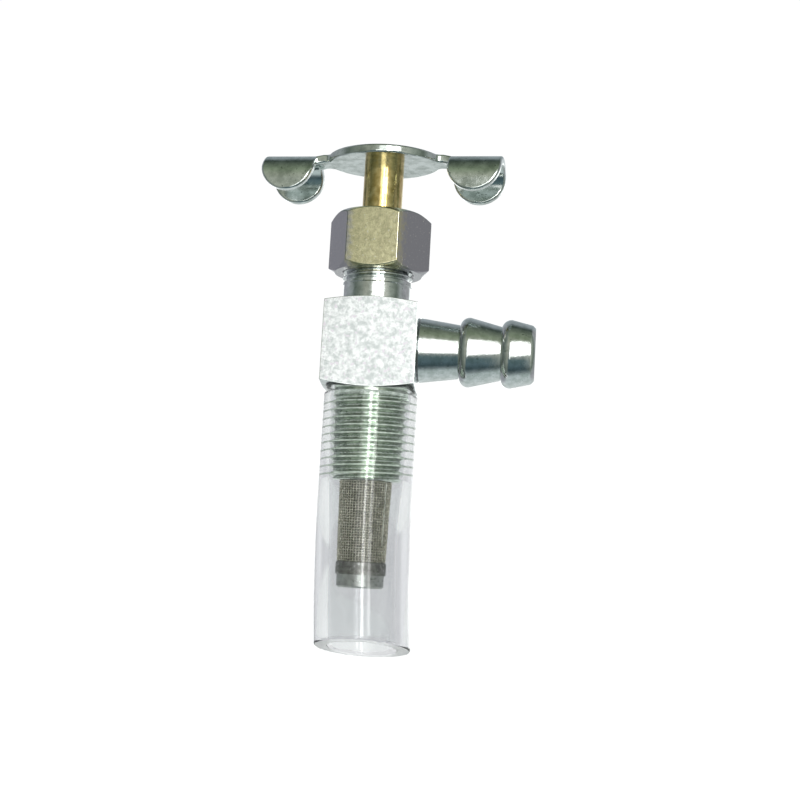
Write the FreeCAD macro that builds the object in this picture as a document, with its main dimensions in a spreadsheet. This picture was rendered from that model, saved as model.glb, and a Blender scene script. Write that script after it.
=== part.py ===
# Screw-in tap: a square-bodied screw-down tap with a taper tank thread, a barbed hose tail, a wing handle,
# a gauze strainer and a clear guard sleeve. Millimetres, Z up. The origin is the middle of the square body's
# bottom face, where the tank thread begins. The hose tail points along X and the front looks along minus Y.
import FreeCAD, Part
import math
import os
import Sketcher

Vector = FreeCAD.Vector
doc = FreeCAD.newDocument("screw_in_tap")

# Driving dimensions
SIZES = [
    ("bar_width", 15.9, "square bar that the body is turned from"),
    ("bar_height", 15.4, "height left square"),
    ("bar_corner_drop", 0.85, "height that the turned ends take off each corner"),
    ("neck_thread_dia", 12.0, "neck thread, outside"),
    ("neck_relief_dia", 11.7, "plain run under the neck thread"),
    ("neck_relief_height", 2.9, "height of that plain run"),
    ("neck_height", 9.2, "top of the square to the top of the neck"),
    ("neck_lead", 0.6, "chamfer at the top of the neck"),
    ("tank_thread_length", 15.4, "tank thread, square to its lower end"),
    ("tank_gauge_dia", 13.157, "thread diameter in the gauge plane"),
    ("tank_gauge_length", 6.0, "small end of the thread to the gauge plane"),
    ("tank_taper", 0.0625, "loss of diameter per unit of length"),
    ("tank_lead", 0.8, "chamfer at the small end"),
    ("tank_turns_per_inch", 19, "turns of the tank thread per inch"),
    ("tank_thread_depth", 0.856, "depth of its groove"),
    ("tank_runout", 1.1, "upper end of its groove, under the plain run"),
    ("thread_root_share", 0.16, "flat at the groove's root, as a share of the pitch"),
    ("thread_flank_slope", 0.52, "lean of the groove's flanks, half of 55 degrees"),
    ("thread_overcut", 0.05, "height of the cutter over the crests"),
    ("tank_relief_height", 1.2, "plain run between the square and the thread"),
    ("tank_relief_dia", 12.6, "diameter of that run"),
    ("inlet_dia", 5.2, "water way through the tank thread"),
    ("seat_level", 1.6, "lower edge of the valve seat"),
    ("chamber_dia", 8.8, "valve chamber"),
    ("chamber_top", 11.6, "top of the chamber"),
    ("stem_thread_dia", 8.0, "thread on the spindle, outside"),
    ("stem_thread_bottom", 9.4, "lower end of the spindle's thread"),
    ("stem_thread_top", 21.4, "upper end of the spindle's thread"),
    ("stem_dia", 6.9, "plain stem"),
    ("stem_nose_dia", 5.4, "lower end of the spindle, round the cone's pin"),
    ("stem_nose_bottom", 5.6, "lower face of the spindle"),
    ("running_gap", 0.05, "radial clearance of turned pieces that run in each other"),
    ("pressed_gap", 0.02, "radial clearance of pieces that stay put"),
    ("cone_dia", 7.6, "valve cone, outside"),
    ("cone_tip_dia", 3.4, "small end of the valve cone"),
    ("cone_head_height", 1.1, "straight rim above the cone"),
    ("cone_pin_dia", 2.8, "pin that the cone swivels on"),
    ("cone_pin_depth", 3.6, "length of the pin inside the spindle"),
    ("seat_gap", 0.08, "height between the cone and the seat when shut"),
    ("nut_across_flats", 15.4, "gland nut"),
    ("nut_height", 10.25, "gland nut"),
    ("nut_bottom", 20.6, "lower face of the nut"),
    ("nut_corner_drop", 0.9, "height that the chamfers take off each corner"),
    ("nut_roof", 2.0, "thickness of the nut over the follower"),
    ("nut_stem_gap", 0.25, "radial clearance of the stem in the nut's roof"),
    ("nut_turn", -4.0, "how far the nut is turned, degrees"),
    ("packing_height", 1.5, "each packing ring"),
    ("packing_wall", 1.8, "packing rings and follower, from the stem outwards"),
    ("handle_level", 40.15, "underside of the handle's flat middle"),
    ("sheet_thickness", 1.5, "sheet that the handle is stamped from"),
    ("plate_half_depth", 8.1, "middle of the handle, front to back, half"),
    ("plate_arc_radius", 10.6, "front and back edges of the middle"),
    ("arm_half_width", 2.0, "narrow necks of the handle, half"),
    ("arm_corner_radius", 1.0, "rounding where the necks leave the middle"),
    ("arm_bend", 1.1, "length over which a neck bends to the wing's arch"),
    ("bend_tuck", 0.03, "depth inside the wing's sheet at which the bend ends"),
    ("wing_start", 11.7, "inner end of a wing, from the spindle"),
    ("wing_end", 21.0, "outer end of a wing"),
    ("wing_half_width", 5.2, "arched wing, half of its width outside"),
    ("wing_round_drop", 2.5, "top of the wing to the centre of its round sides"),
    ("edge_rounding", 0.4, "rounding of the sheet's edges"),
    ("handle_turn", -5.4, "how far the handle is turned at rest, degrees"),
    ("tenon_width", 4.6, "squared end of the spindle"),
    ("peen_dia", 6.6, "hammered head over the handle"),
    ("peen_height", 1.3, "hammered head"),
    ("peen_rim", 0.35, "height of the hammered head at its edge"),
    ("tail_level", 7.65, "axis of the hose tail over the body's bottom"),
    ("tail_bore", 5.8, "bore of the hose tail"),
    ("side_passage_dia", 5.0, "passage from the valve chamber to the hose tail"),
    ("tail_spigot_dia", 8.6, "end of the hose tail inside the body"),
    ("tail_spigot_length", 2.4, "depth of that end"),
    ("tail_root_dia", 11.15, "hose tail at the body"),
    ("tail_waist_dia", 9.3, "hose tail before each barb"),
    ("first_barb_start", 6.8, "waist to the first barb, from the body"),
    ("first_barb_dia", 12.0, "first barb"),
    ("second_barb_start", 13.9, "waist to the second barb, from the body"),
    ("second_barb_dia", 11.75, "second barb"),
    ("barb_rise", 1.75, "length over which a barb's round shoulder rises"),
    ("tail_length", 19.7, "hose tail outside the body"),
    ("tail_tip_dia", 10.1, "free end of the hose tail"),
    ("tail_lip", 0.5, "chamfer of the free end"),
    ("gauze_dia", 8.6, "gauze tube at the top"),
    ("gauze_end_dia", 7.85, "gauze tube at the lower end"),
    ("gauze_wall", 0.45, "thickness of the rolled gauze"),
    ("gauze_depth", 3.0, "length of gauze inside the inlet"),
    ("ring_wall", 0.5, "ring that spreads the gauze"),
    ("ferrule_wall", 0.27, "ring round the gauze's lower end"),
    ("ferrule_top", 28.9, "upper edge of that ring, under the body"),
    ("ferrule_bottom", 31.0, "lower edge of that ring, under the body"),
    ("plug_dia", 8.0, "cap of the strainer"),
    ("plug_bottom", 33.2, "lower face of the strainer, under the body"),
    ("plug_wall", 0.6, "thickness of the cap"),
    ("sleeve_wall", 1.2, "wall of the guard sleeve where the thread's wide end stretches it"),
    ("sleeve_bore_dia", 11.4, "bore of the sleeve where it isn't stretched"),
    ("sleeve_throat", 1.0, "length over which its bore narrows under the thread"),
    ("sleeve_grip_gap", 0.05, "radial room between the thread's widest turn and the sleeve"),
    ("sleeve_top", 0.45, "top of the sleeve, under the body"),
    ("sleeve_straight", 16.6, "straight stretch of the sleeve over the thread"),
    ("sleeve_curl_radius", 345.0, "curl that the tube keeps from its coil"),
    ("sleeve_front_length", 41.4, "lower edge at the front, under the body"),
    ("sleeve_back_length", 45.0, "lower edge at the back, under the body"),
]

sheet = doc.addObject("Spreadsheet::Sheet", "Sizes")
for row, (name, value, note) in enumerate(SIZES, start=1):
    sheet.set(f"A{row}", name)
    sheet.set(f"B{row}", str(value))
    sheet.set(f"C{row}", note)
    sheet.setAlias(f"B{row}", name)
doc.recompute()


class Size:
    """A length that knows its number now and the formula that ties it to the sheet."""

    def __init__(self, number, formula):
        self.number = float(number)
        self.formula = formula

    def __add__(self, other):
        other = as_size(other)
        return Size(self.number + other.number, f"({self.formula} + {other.formula})")

    def __sub__(self, other):
        other = as_size(other)
        return Size(self.number - other.number, f"({self.formula} - {other.formula})")

    def __mul__(self, other):
        other = as_size(other)
        return Size(self.number * other.number, f"({self.formula} * {other.formula})")

    def __truediv__(self, other):
        other = as_size(other)
        return Size(self.number / other.number, f"({self.formula} / {other.formula})")

    def __neg__(self):
        return Size(-self.number, f"(0 - {self.formula})")


def as_size(value):
    return value if isinstance(value, Size) else Size(value, repr(value))


def root(size):
    return Size(math.sqrt(size.number), f"sqrt({size.formula})")


def cell(name):
    return Size(sheet.get(name), f"Sizes.{name}")


def bind(feature, prop, size):
    """Ties one property of a feature to the sheet."""
    feature.setExpression(prop, as_size(size).formula)


def new_body(name):
    return doc.addObject("PartDesign::Body", name)


def origin_plane(body, role):
    return next(plane for plane in body.Origin.OriginFeatures if plane.Role == role)


def new_sketch(body, name, plane="XZ_Plane", lift=0):
    """An empty sketch on one of the body's own planes, lifted off it by a size."""
    sketch = body.newObject("Sketcher::SketchObject", name)
    sketch.AttachmentSupport = [(origin_plane(body, plane), "")]
    sketch.MapMode = "FlatFace"
    bind(sketch, "AttachmentOffset.Base.z", lift)
    return sketch


def arc_through(start, end, radius):
    """The short arc between two points: a positive radius keeps its centre on the left of the way along."""
    chord = end - start
    half = chord.Length / 2
    reach = math.sqrt(max(radius * radius - half * half, 0.0))
    left = Vector(-chord.y, chord.x, 0) / chord.Length
    centre = start + chord / 2 + left * (reach if radius > 0 else -reach)
    angles = [math.atan2(p.y - centre.y, p.x - centre.x) for p in (start, end)]
    if radius < 0:
        angles.reverse()
    if angles[1] < angles[0]:
        angles[1] += 2 * math.pi
    return Part.ArcOfCircle(Part.Circle(centre, Vector(0, 0, 1), abs(radius)), angles[0], angles[1])


def outline(sketch, corners, arcs=None):
    """A closed outline. Each corner is an (x, y) pair of sizes, and each edge is straight unless arcs names
    its start corner with a radius. Every corner and radius is tied to the sheet."""
    arcs = arcs or {}
    corners = [(as_size(x), as_size(y)) for x, y in corners]
    points = [Vector(x.number, y.number, 0) for x, y in corners]
    first = sketch.GeometryCount
    ends = []
    for index, start in enumerate(points):
        end = points[(index + 1) % len(points)]
        if index in arcs:
            radius = as_size(arcs[index]).number
            sketch.addGeometry(arc_through(start, end, radius), False)
            ends.append((1, 2) if radius > 0 else (2, 1))
        else:
            sketch.addGeometry(Part.LineSegment(start, end), False)
            ends.append((1, 2))
    for index in range(len(points)):
        following = (index + 1) % len(points)
        sketch.addConstraint(Sketcher.Constraint("Coincident", first + index, ends[index][1],
                                                 first + following, ends[following][0]))
    for index, corner in enumerate(corners):
        for kind, size in zip(("DistanceX", "DistanceY"), corner):
            number = sketch.addConstraint(
                Sketcher.Constraint(kind, -1, 1, first + index, ends[index][0], size.number))
            sketch.setExpression(f"Constraints[{number}]", size.formula)
    for index, radius in arcs.items():
        radius = as_size(radius)
        length = radius if radius.number > 0 else -radius
        chord = (points[(index + 1) % len(points)] - points[index]).Length
        if abs(chord / 2 - length.number) < 0.000001:
            # a half circle between two points of one level is held by the level of its centre
            level = corners[index][1]
            number = sketch.addConstraint(
                Sketcher.Constraint("DistanceY", -1, 1, first + index, 3, level.number))
            sketch.setExpression(f"Constraints[{number}]", level.formula)
        else:
            number = sketch.addConstraint(Sketcher.Constraint("Radius", first + index, length.number))
            sketch.setExpression(f"Constraints[{number}]", length.formula)
    return sketch


def turned(body, name, corners, arcs=None, cut=False, axis="V_Axis", plane="XZ_Plane"):
    """Turns a half profile, drawn as (radius, level) pairs, once round its axis."""
    sketch = outline(new_sketch(body, f"{name}_profile", plane), corners, arcs)
    kind = "PartDesign::Groove" if cut else "PartDesign::Revolution"
    before = body.Shape.Volume if cut else 0
    feature = body.newObject(kind, name)
    feature.Profile = sketch
    feature.ReferenceAxis = (sketch, [axis])
    feature.Angle = 360
    doc.recompute()
    if cut and not body.Shape.Volume < before:
        raise RuntimeError(f"{name} cuts nothing")
    return feature


def turned_end(body, name, flat, corner, level, drop):
    """Turns an end of square or hexagon bar, so that a cone takes its corners off by the drop."""
    outside = corner + bar_half
    turned(body, name, [(flat, level), (corner, level + drop), (outside, level + drop), (outside, level - drop),
                        (flat, level - drop)], cut=True)


def cut_thread(body, name, crest, taper, pitch, depth, bottom, top):
    """Cuts a V groove that winds up the axis between two levels. The crest is its outer radius at the lower one,
    and the groove starts one turn below, so that it is already deep where it enters."""
    flat = pitch * cell("thread_root_share") / 2
    overcut = cell("thread_overcut")
    mouth = flat + (depth + overcut) * cell("thread_flank_slope")
    start = bottom - pitch
    foot = crest - pitch * taper / 2
    section = outline(new_sketch(body, f"{name}_section"),
                      [(foot + overcut, start - mouth), (foot + overcut, start + mouth),
                       (foot - depth, start + flat), (foot - depth, start - flat)])
    before = body.Shape.Volume
    helix = body.newObject("PartDesign::SubtractiveHelix", name)
    helix.Profile = section
    helix.ReferenceAxis = (section, ["V_Axis"])
    helix.Mode = "pitch-height-angle"
    bind(helix, "Pitch", pitch)
    bind(helix, "Height", top - start)
    helix.setExpression("Angle", f"atan({as_size(taper).formula} / 2)")
    doc.recompute()
    if not body.Shape.Volume < before:
        raise RuntimeError(f"{name} cuts nothing")
    return helix


def finish(body, label, turn=None):
    """Names the piece after its file and, where it stands turned, turns it about the tap's axis."""
    body.Label = label
    if turn is not None:
        body.Placement = FreeCAD.Placement(Vector(0, 0, 0), FreeCAD.Rotation(Vector(0, 0, 1), 0))
        bind(body, "Placement.Rotation.Angle", turn)
    doc.recompute()
    return body


# Levels and radii that several pieces share
bar_half = cell("bar_width") / 2
bar_top = cell("bar_height")
neck_top = bar_top + cell("neck_height")
thread_end = -cell("tank_thread_length")
thread_top = -cell("tank_relief_height")
small_end_radius = (cell("tank_gauge_dia") - cell("tank_gauge_length") * cell("tank_taper")) / 2
thread_run = cell("tank_thread_length") - cell("tank_relief_height")
large_end_radius = small_end_radius + thread_run * cell("tank_taper") / 2
millimetres_per_inch = 25.4
tank_pitch = as_size(millimetres_per_inch) / cell("tank_turns_per_inch")
sleeve_grip_radius = large_end_radius + cell("sleeve_grip_gap")
sleeve_radius = sleeve_grip_radius + cell("sleeve_wall")
stem_radius = cell("stem_dia") / 2
stem_bore_radius = stem_radius + cell("running_gap")
packing_radius = stem_bore_radius + cell("packing_wall")
gauze_radius = cell("gauze_dia") / 2
gauze_top = thread_end + cell("gauze_depth")
inlet_counterbore_radius = gauze_radius + cell("pressed_gap")
chamber_radius = cell("chamber_dia") / 2
seat_top = cell("seat_level") + chamber_radius - cell("inlet_dia") / 2
packing_floor = neck_top
follower_floor = packing_floor + cell("packing_height") * 2
nut_top = cell("nut_bottom") + cell("nut_height")
nut_ceiling = nut_top - cell("nut_roof")
handle_top = cell("handle_level") + cell("sheet_thickness")


# The body, turned from square bar: the corners show the arcs of the turned ends
def make_tap_body():
    body = new_body("tap_body")
    square = new_sketch(body, "square_section", "XY_Plane")
    outline(square, [(-bar_half, -bar_half), (bar_half, -bar_half), (bar_half, bar_half), (-bar_half, bar_half)])
    pad = body.newObject("PartDesign::Pad", "square_bar")
    pad.Profile = square
    bind(pad, "Length", bar_top)
    doc.recompute()

    corner_radius = bar_half * root(as_size(2))
    for name, level, way in (("turned_top", bar_top, -1), ("turned_bottom", as_size(0), 1)):
        turned_end(body, name, bar_half, corner_radius, level, cell("bar_corner_drop") * way)

    relief = cell("neck_relief_dia") / 2
    neck = cell("neck_thread_dia") / 2
    relief_top = bar_top + cell("neck_relief_height")
    turned(body, "neck", [(0, bar_top), (relief, bar_top), (relief, relief_top), (neck, relief_top + neck - relief),
                          (neck, neck_top - cell("neck_lead")), (neck - cell("neck_lead"), neck_top),
                          (0, neck_top)])
    lead = cell("tank_lead")
    tank_relief = cell("tank_relief_dia") / 2
    turned(body, "tank_thread", [(0, thread_end), (small_end_radius - lead, thread_end),
                                 (small_end_radius, thread_end + lead), (large_end_radius, thread_top - lead / 2),
                                 (tank_relief, thread_top), (tank_relief, 0), (0, 0)])
    cut_thread(body, "tank_groove", small_end_radius, cell("tank_taper"), tank_pitch, cell("tank_thread_depth"),
               thread_end, thread_top - cell("tank_runout"))
    inlet = cell("inlet_dia") / 2
    screw_bore = cell("stem_thread_dia") / 2 + cell("running_gap")
    turned(body, "water_way", [(0, thread_end), (inlet_counterbore_radius, thread_end),
                               (inlet_counterbore_radius, gauze_top), (inlet, gauze_top),
                               (inlet, cell("seat_level")), (chamber_radius, seat_top),
                               (chamber_radius, cell("chamber_top")), (screw_bore, cell("chamber_top")),
                               (screw_bore, neck_top), (0, neck_top)], cut=True)

    side = new_sketch(body, "tail_socket_circle", "YZ_Plane", bar_half)
    add_circle(side, 0, cell("tail_level"), cell("tail_spigot_dia") / 2 + cell("pressed_gap"))
    pocket(body, "tail_socket", side, cell("tail_spigot_length"))
    passage = new_sketch(body, "side_passage_circle", "YZ_Plane", bar_half)
    add_circle(passage, 0, cell("tail_level"), cell("side_passage_dia") / 2)
    pocket(body, "side_passage", passage, bar_half)
    return finish(body, "tap_body")


def add_circle(sketch, x, y, radius):
    x, y, radius = as_size(x), as_size(y), as_size(radius)
    circle = sketch.addGeometry(Part.Circle(Vector(x.number, y.number, 0), Vector(0, 0, 1), radius.number), False)
    for kind, size in (("DistanceX", x), ("DistanceY", y)):
        number = sketch.addConstraint(Sketcher.Constraint(kind, -1, 1, circle, 3, size.number))
        sketch.setExpression(f"Constraints[{number}]", size.formula)
    number = sketch.addConstraint(Sketcher.Constraint("Radius", circle, radius.number))
    sketch.setExpression(f"Constraints[{number}]", radius.formula)


def pocket(body, name, sketch, depth, reverse=False, both_ways=False):
    """Cuts a sketch into the body and makes sure that something was cut."""
    before = body.Shape.Volume
    feature = body.newObject("PartDesign::Pocket", name)
    feature.Profile = sketch
    feature.Type = "Length"
    feature.SideType = "Symmetric" if both_ways else "One side"
    bind(feature, "Length", depth)
    feature.Reversed = reverse
    doc.recompute()
    if not body.Shape.Volume < before:
        raise RuntimeError(f"{name} cuts nothing")
    return feature


# The hose tail, a separate turned piece that is pressed into the side of the body
def make_hose_tail():
    body = new_body("hose_tail")
    level = cell("tail_level")
    face = bar_half
    bore = cell("tail_bore") / 2
    spigot = cell("tail_spigot_dia") / 2
    waist = level + cell("tail_waist_dia") / 2
    rise = cell("barb_rise")
    tip = face + cell("tail_length")
    lip = cell("tail_lip")
    corners = [(face - cell("tail_spigot_length"), level + bore), (face - cell("tail_spigot_length"), level + spigot),
               (face, level + spigot), (face, level + cell("tail_root_dia") / 2)]
    arcs = {}
    for start, dia in (("first_barb_start", "first_barb_dia"), ("second_barb_start", "second_barb_dia")):
        foot = face + cell(start)
        crest = level + cell(dia) / 2
        height = crest - waist
        # the round shoulder runs level where it meets the crest, which fixes its radius
        arcs[len(corners)] = -(height * height + rise * rise) / (height * 2)
        corners += [(foot, waist), (foot + rise, crest)]
    corners += [(tip - lip, level + cell("tail_tip_dia") / 2), (tip, level + cell("tail_tip_dia") / 2 - lip),
                (tip, level + bore)]
    sketch = outline(new_sketch(body, "tail_profile"), corners, arcs)
    axis = sketch.addGeometry(Part.LineSegment(Vector(0, level.number, 0), Vector(tip.number, level.number, 0)), True)
    for point, x in ((1, as_size(0)), (2, tip)):
        for kind, size in (("DistanceX", x), ("DistanceY", level)):
            number = sketch.addConstraint(Sketcher.Constraint(kind, -1, 1, axis, point, size.number))
            sketch.setExpression(f"Constraints[{number}]", size.formula)
    feature = body.newObject("PartDesign::Revolution", "turned_tail")
    feature.Profile = sketch
    feature.ReferenceAxis = (sketch, ["Axis0"])
    feature.Angle = 360
    return finish(body, "hose_tail")


# The gland nut: a hexagon chamfered at both ends, threaded below and open above for the stem
def make_gland_nut():
    body = new_body("gland_nut")
    half = cell("nut_across_flats") / 2
    corner = half * 2 / root(as_size(3))
    section = new_sketch(body, "hexagon", "XY_Plane", cell("nut_bottom"))
    outline(section, [(corner / 2, -half), (corner, 0), (corner / 2, half), (-corner / 2, half), (-corner, 0),
                      (-corner / 2, -half)])
    pad = body.newObject("PartDesign::Pad", "hexagon_bar")
    pad.Profile = section
    bind(pad, "Length", cell("nut_height"))
    doc.recompute()
    for name, level, way in (("top_chamfer", nut_top, -1), ("bottom_chamfer", cell("nut_bottom"), 1)):
        turned_end(body, name, half, corner, level, cell("nut_corner_drop") * way)
    thread = cell("neck_thread_dia") / 2 + cell("pressed_gap")
    packing = packing_radius + cell("pressed_gap")
    stem_hole = stem_radius + cell("nut_stem_gap")
    turned(body, "nut_bore", [(0, cell("nut_bottom")), (thread, cell("nut_bottom")), (thread, neck_top),
                              (packing, neck_top), (packing, nut_ceiling), (stem_hole, nut_ceiling),
                              (stem_hole, nut_top), (0, nut_top)], cut=True)
    return finish(body, "gland_nut", cell("nut_turn"))


def make_ring(name, bottom, top, inner, outer):
    """A plain ring round the tap's axis."""
    body = new_body(name)
    turned(body, f"{name}_ring", [(inner, bottom), (outer, bottom), (outer, top), (inner, top)])
    return finish(body, name)


# The spindle: thread and nose below, plain stem through the gland, squared end peened over the handle
def make_spindle():
    body = new_body("spindle")
    screw = cell("stem_thread_dia") / 2
    nose = cell("stem_nose_dia") / 2
    bottom, top = cell("stem_thread_bottom"), cell("stem_thread_top")
    step = screw - stem_radius
    turned(body, "stem", [(0, cell("stem_nose_bottom")), (nose, cell("stem_nose_bottom")), (nose, bottom - screw + nose),
                          (screw, bottom), (screw, top), (stem_radius, top + step),
                          (stem_radius, cell("handle_level")), (0, cell("handle_level"))])
    half = cell("tenon_width") / 2
    square = new_sketch(body, "tenon_section", "XY_Plane", cell("handle_level"))
    outline(square, [(-half, -half), (half, -half), (half, half), (-half, half)])
    tenon = body.newObject("PartDesign::Pad", "tenon")
    tenon.Profile = square
    bind(tenon, "Length", cell("sheet_thickness"))
    doc.recompute()
    peen = cell("peen_dia") / 2
    height = cell("peen_height")
    crown_top = handle_top + height
    rim = handle_top + cell("peen_rim")
    crown_drop = crown_top - rim
    turned(body, "peened_head", [(0, handle_top), (peen, handle_top), (peen, rim), (0, crown_top)],
           {2: (peen * peen + crown_drop * crown_drop) / (crown_drop * 2)})
    pin_bore = cell("cone_pin_dia") / 2 + cell("running_gap")
    turned(body, "pin_hole", [(0, cell("stem_nose_bottom")), (pin_bore, cell("stem_nose_bottom")),
                              (pin_bore, cell("stem_nose_bottom") + cell("cone_pin_depth") + cell("running_gap")),
                              (0, cell("stem_nose_bottom") + cell("cone_pin_depth") + cell("running_gap"))], cut=True)
    return finish(body, "spindle", cell("handle_turn"))


# The valve cone, which stays still on the seat while the spindle turns on its pin
def make_valve_cone():
    body = new_body("valve_cone")
    rim = cell("cone_dia") / 2
    tip = cell("cone_tip_dia") / 2
    pin = cell("cone_pin_dia") / 2
    # a point of the seat at a radius lies at this level, and the cone lies a small gap above it
    seat_apex = cell("seat_level") - cell("inlet_dia") / 2
    tip_level = seat_apex + tip + cell("seat_gap")
    rim_level = seat_apex + rim + cell("seat_gap")
    head_top = rim_level + cell("cone_head_height")
    nose = cell("stem_nose_dia") / 2
    shoulder = cell("stem_nose_bottom")
    pin_top = shoulder + cell("cone_pin_depth")
    turned(body, "cone", [(0, tip_level), (tip, tip_level), (rim, rim_level), (rim, head_top), (nose, shoulder),
                          (pin, shoulder), (pin, pin_top), (0, pin_top)])
    return finish(body, "valve_cone")


# One wing of the handle: an arch with straight legs, whose sides are cut round
def make_wing(start, end, outer, inner):
    body = new_body("wing")
    round_centre = handle_top - cell("wing_round_drop")
    round_radius = (end - start) / 2
    clear = cell("sheet_thickness")
    leg_end = round_centre - round_radius - clear
    spring_level = handle_top - outer
    arch = new_sketch(body, "wing_section", "YZ_Plane", start)
    outline(arch, [(-outer, leg_end), (-inner, leg_end), (-inner, spring_level), (inner, spring_level),
                   (inner, leg_end), (outer, leg_end), (outer, spring_level), (-outer, spring_level)],
            {2: -inner, 6: outer})
    channel = body.newObject("PartDesign::Pad", "wing_channel")
    channel.Profile = arch
    bind(channel, "Length", end - start)
    doc.recompute()
    side = new_sketch(body, "wing_side_waste", "XZ_Plane")
    outline(side, [(start - clear, leg_end - clear), (end + clear, leg_end - clear), (end + clear, round_centre),
                   (end, round_centre), (start, round_centre), (start - clear, round_centre)], {3: -round_radius})
    pocket(body, "round_wing_sides", side, outer * 3, both_ways=True)
    round_edges(body, "rounded_wing_edges", cell("edge_rounding"), lambda edge: True)
    return body


# The handle, stamped from one sheet. Half of it is made, with its edges rounded, and then mirrored.
def make_handle():
    body = new_body("handle")
    outer = cell("wing_half_width")
    inner = outer - cell("sheet_thickness")
    start, end = cell("wing_start"), cell("wing_end")
    arm = cell("arm_half_width")
    rounding = cell("edge_rounding")

    # the middle, half of it, as far as the place where the arm starts to bend
    arc = cell("plate_arc_radius")
    depth = cell("plate_half_depth")
    level = cell("handle_level")
    arc_end = root(arc * arc - (arc - depth + arm) * (arc - depth + arm))
    bend_start = start - cell("arm_bend")
    middle = new_sketch(body, "middle_outline", "XY_Plane", level)
    outline(middle, [(0, -depth), (arc_end, -arm), (bend_start, -arm), (bend_start, arm), (arc_end, arm),
                     (0, depth)], {0: arc, 4: arc})
    pad = body.newObject("PartDesign::Pad", "middle")
    pad.Profile = middle
    bind(pad, "Length", cell("sheet_thickness"))
    doc.recompute()
    round_edges(body, "rounded_arm_corners", cell("arm_corner_radius"),
                lambda edge: upright_at(edge, arc_end.number, arm.number))
    round_edges(body, "rounded_middle_edges", rounding, lambda edge: flat_rim(edge, bend_start.number))

    # the bend of the arm: it leaves the middle flat and ends with the wing's curve, just inside its sheet
    shoulder = arm - rounding
    over, under = outer - cell("bend_tuck"), inner + cell("bend_tuck")
    over_level = handle_top - outer + root(over * over - shoulder * shoulder)
    under_level = handle_top - outer + root(under * under - shoulder * shoulder)
    flat = new_sketch(body, "arm_flat_section", "YZ_Plane", bend_start)
    bent = new_sketch(body, "arm_bent_section", "YZ_Plane", start + rounding)
    for sketch, low, high, low_arc, high_arc in ((flat, level, handle_top, {}, {}),
                                                 (bent, under_level, over_level, {0: -under}, {4: over})):
        outline(sketch, [(-shoulder, low), (shoulder, low), (arm, low + rounding), (arm, high - rounding),
                         (shoulder, high), (-shoulder, high), (-arm, high - rounding), (-arm, low + rounding)],
                {1: rounding, 3: rounding, 5: rounding, 7: rounding, **low_arc, **high_arc})
    loft = body.newObject("PartDesign::AdditiveLoft", "arm_bend_loft")
    loft.Profile = flat
    loft.Sections = [bent]
    doc.recompute()

    join = body.newObject("PartDesign::Boolean", "joined_wing")
    join.Type = "Fuse"
    join.addObjects([make_wing(start, end, outer, inner)])
    doc.recompute()

    whole = body.newObject("PartDesign::Mirrored", "both_halves")
    whole.TransformMode = "Whole shape"
    whole.MirrorPlane = (origin_plane(body, "YZ_Plane"), [""])
    body.Tip = whole
    doc.recompute()

    half = cell("tenon_width") / 2
    hole = new_sketch(body, "square_hole_section", "XY_Plane", cell("handle_level"))
    edge = half + cell("pressed_gap")
    outline(hole, [(-edge, -edge), (edge, -edge), (edge, edge), (-edge, edge)])
    pocket(body, "square_hole", hole, cell("sheet_thickness"), reverse=True)
    return finish(body, "handle", cell("handle_turn"))


def upright_at(edge, x, y):
    """True for the upright edges at a distance x along the handle and y to either side."""
    ends = [vertex.Point for vertex in edge.Vertexes]
    return len(ends) == 2 and all(abs(p.x - x) < 0.01 and abs(abs(p.y) - y) < 0.01 for p in ends)


def flat_rim(edge, limit):
    """True for the edges of the handle's middle that run along its outline, top or bottom."""
    box = edge.BoundBox
    level = min(abs(box.ZMin - handle_top.number), abs(box.ZMin - cell("handle_level").number))
    return box.ZLength < 0.001 and level < 0.001 and box.XLength > 0.01 and box.XMax < limit + 0.01


def round_edges(body, name, radius, wanted):
    """Rounds the edges of the body so far that the test picks out."""
    shape = body.Shape
    names = [f"Edge{number}" for number, edge in enumerate(shape.Edges, start=1) if wanted(edge)]
    fillet = body.newObject("PartDesign::Fillet", name)
    fillet.Base = (body.Tip if body.Tip != fillet else fillet.BaseFeature, names)
    bind(fillet, "Radius", radius)
    doc.recompute()
    return fillet


# The gauze tube, rolled to a slight taper, with a ring spread inside its top
def make_strainer_gauze():
    body = new_body("strainer_gauze")
    end = cell("gauze_end_dia") / 2
    wall = cell("gauze_wall")
    bottom = -cell("ferrule_bottom")
    turned(body, "rolled_gauze", [(gauze_radius - wall, gauze_top), (gauze_radius - wall, thread_end),
                                  (end - wall, bottom), (end, bottom), (gauze_radius, thread_end),
                                  (gauze_radius, gauze_top)])
    return finish(body, "strainer_gauze")


def make_strainer_ferrule():
    body = new_body("strainer_ferrule")
    top, bottom = -cell("ferrule_top"), -cell("ferrule_bottom")
    inner = gauze_radius_at(top) + cell("pressed_gap")
    outer = inner + cell("ferrule_wall")
    crimp = cell("ferrule_wall") / 2
    turned(body, "crimped_ring", [(inner, bottom), (outer, bottom), (outer, top - crimp), (outer - crimp, top),
                                  (inner, top)])
    return finish(body, "strainer_ferrule")


def gauze_radius_at(level):
    """Outside radius of the gauze at a level under the thread's end."""
    end = cell("gauze_end_dia") / 2
    share = (thread_end - level) / (thread_end + cell("ferrule_bottom"))
    return gauze_radius + (end - gauze_radius) * share


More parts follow.
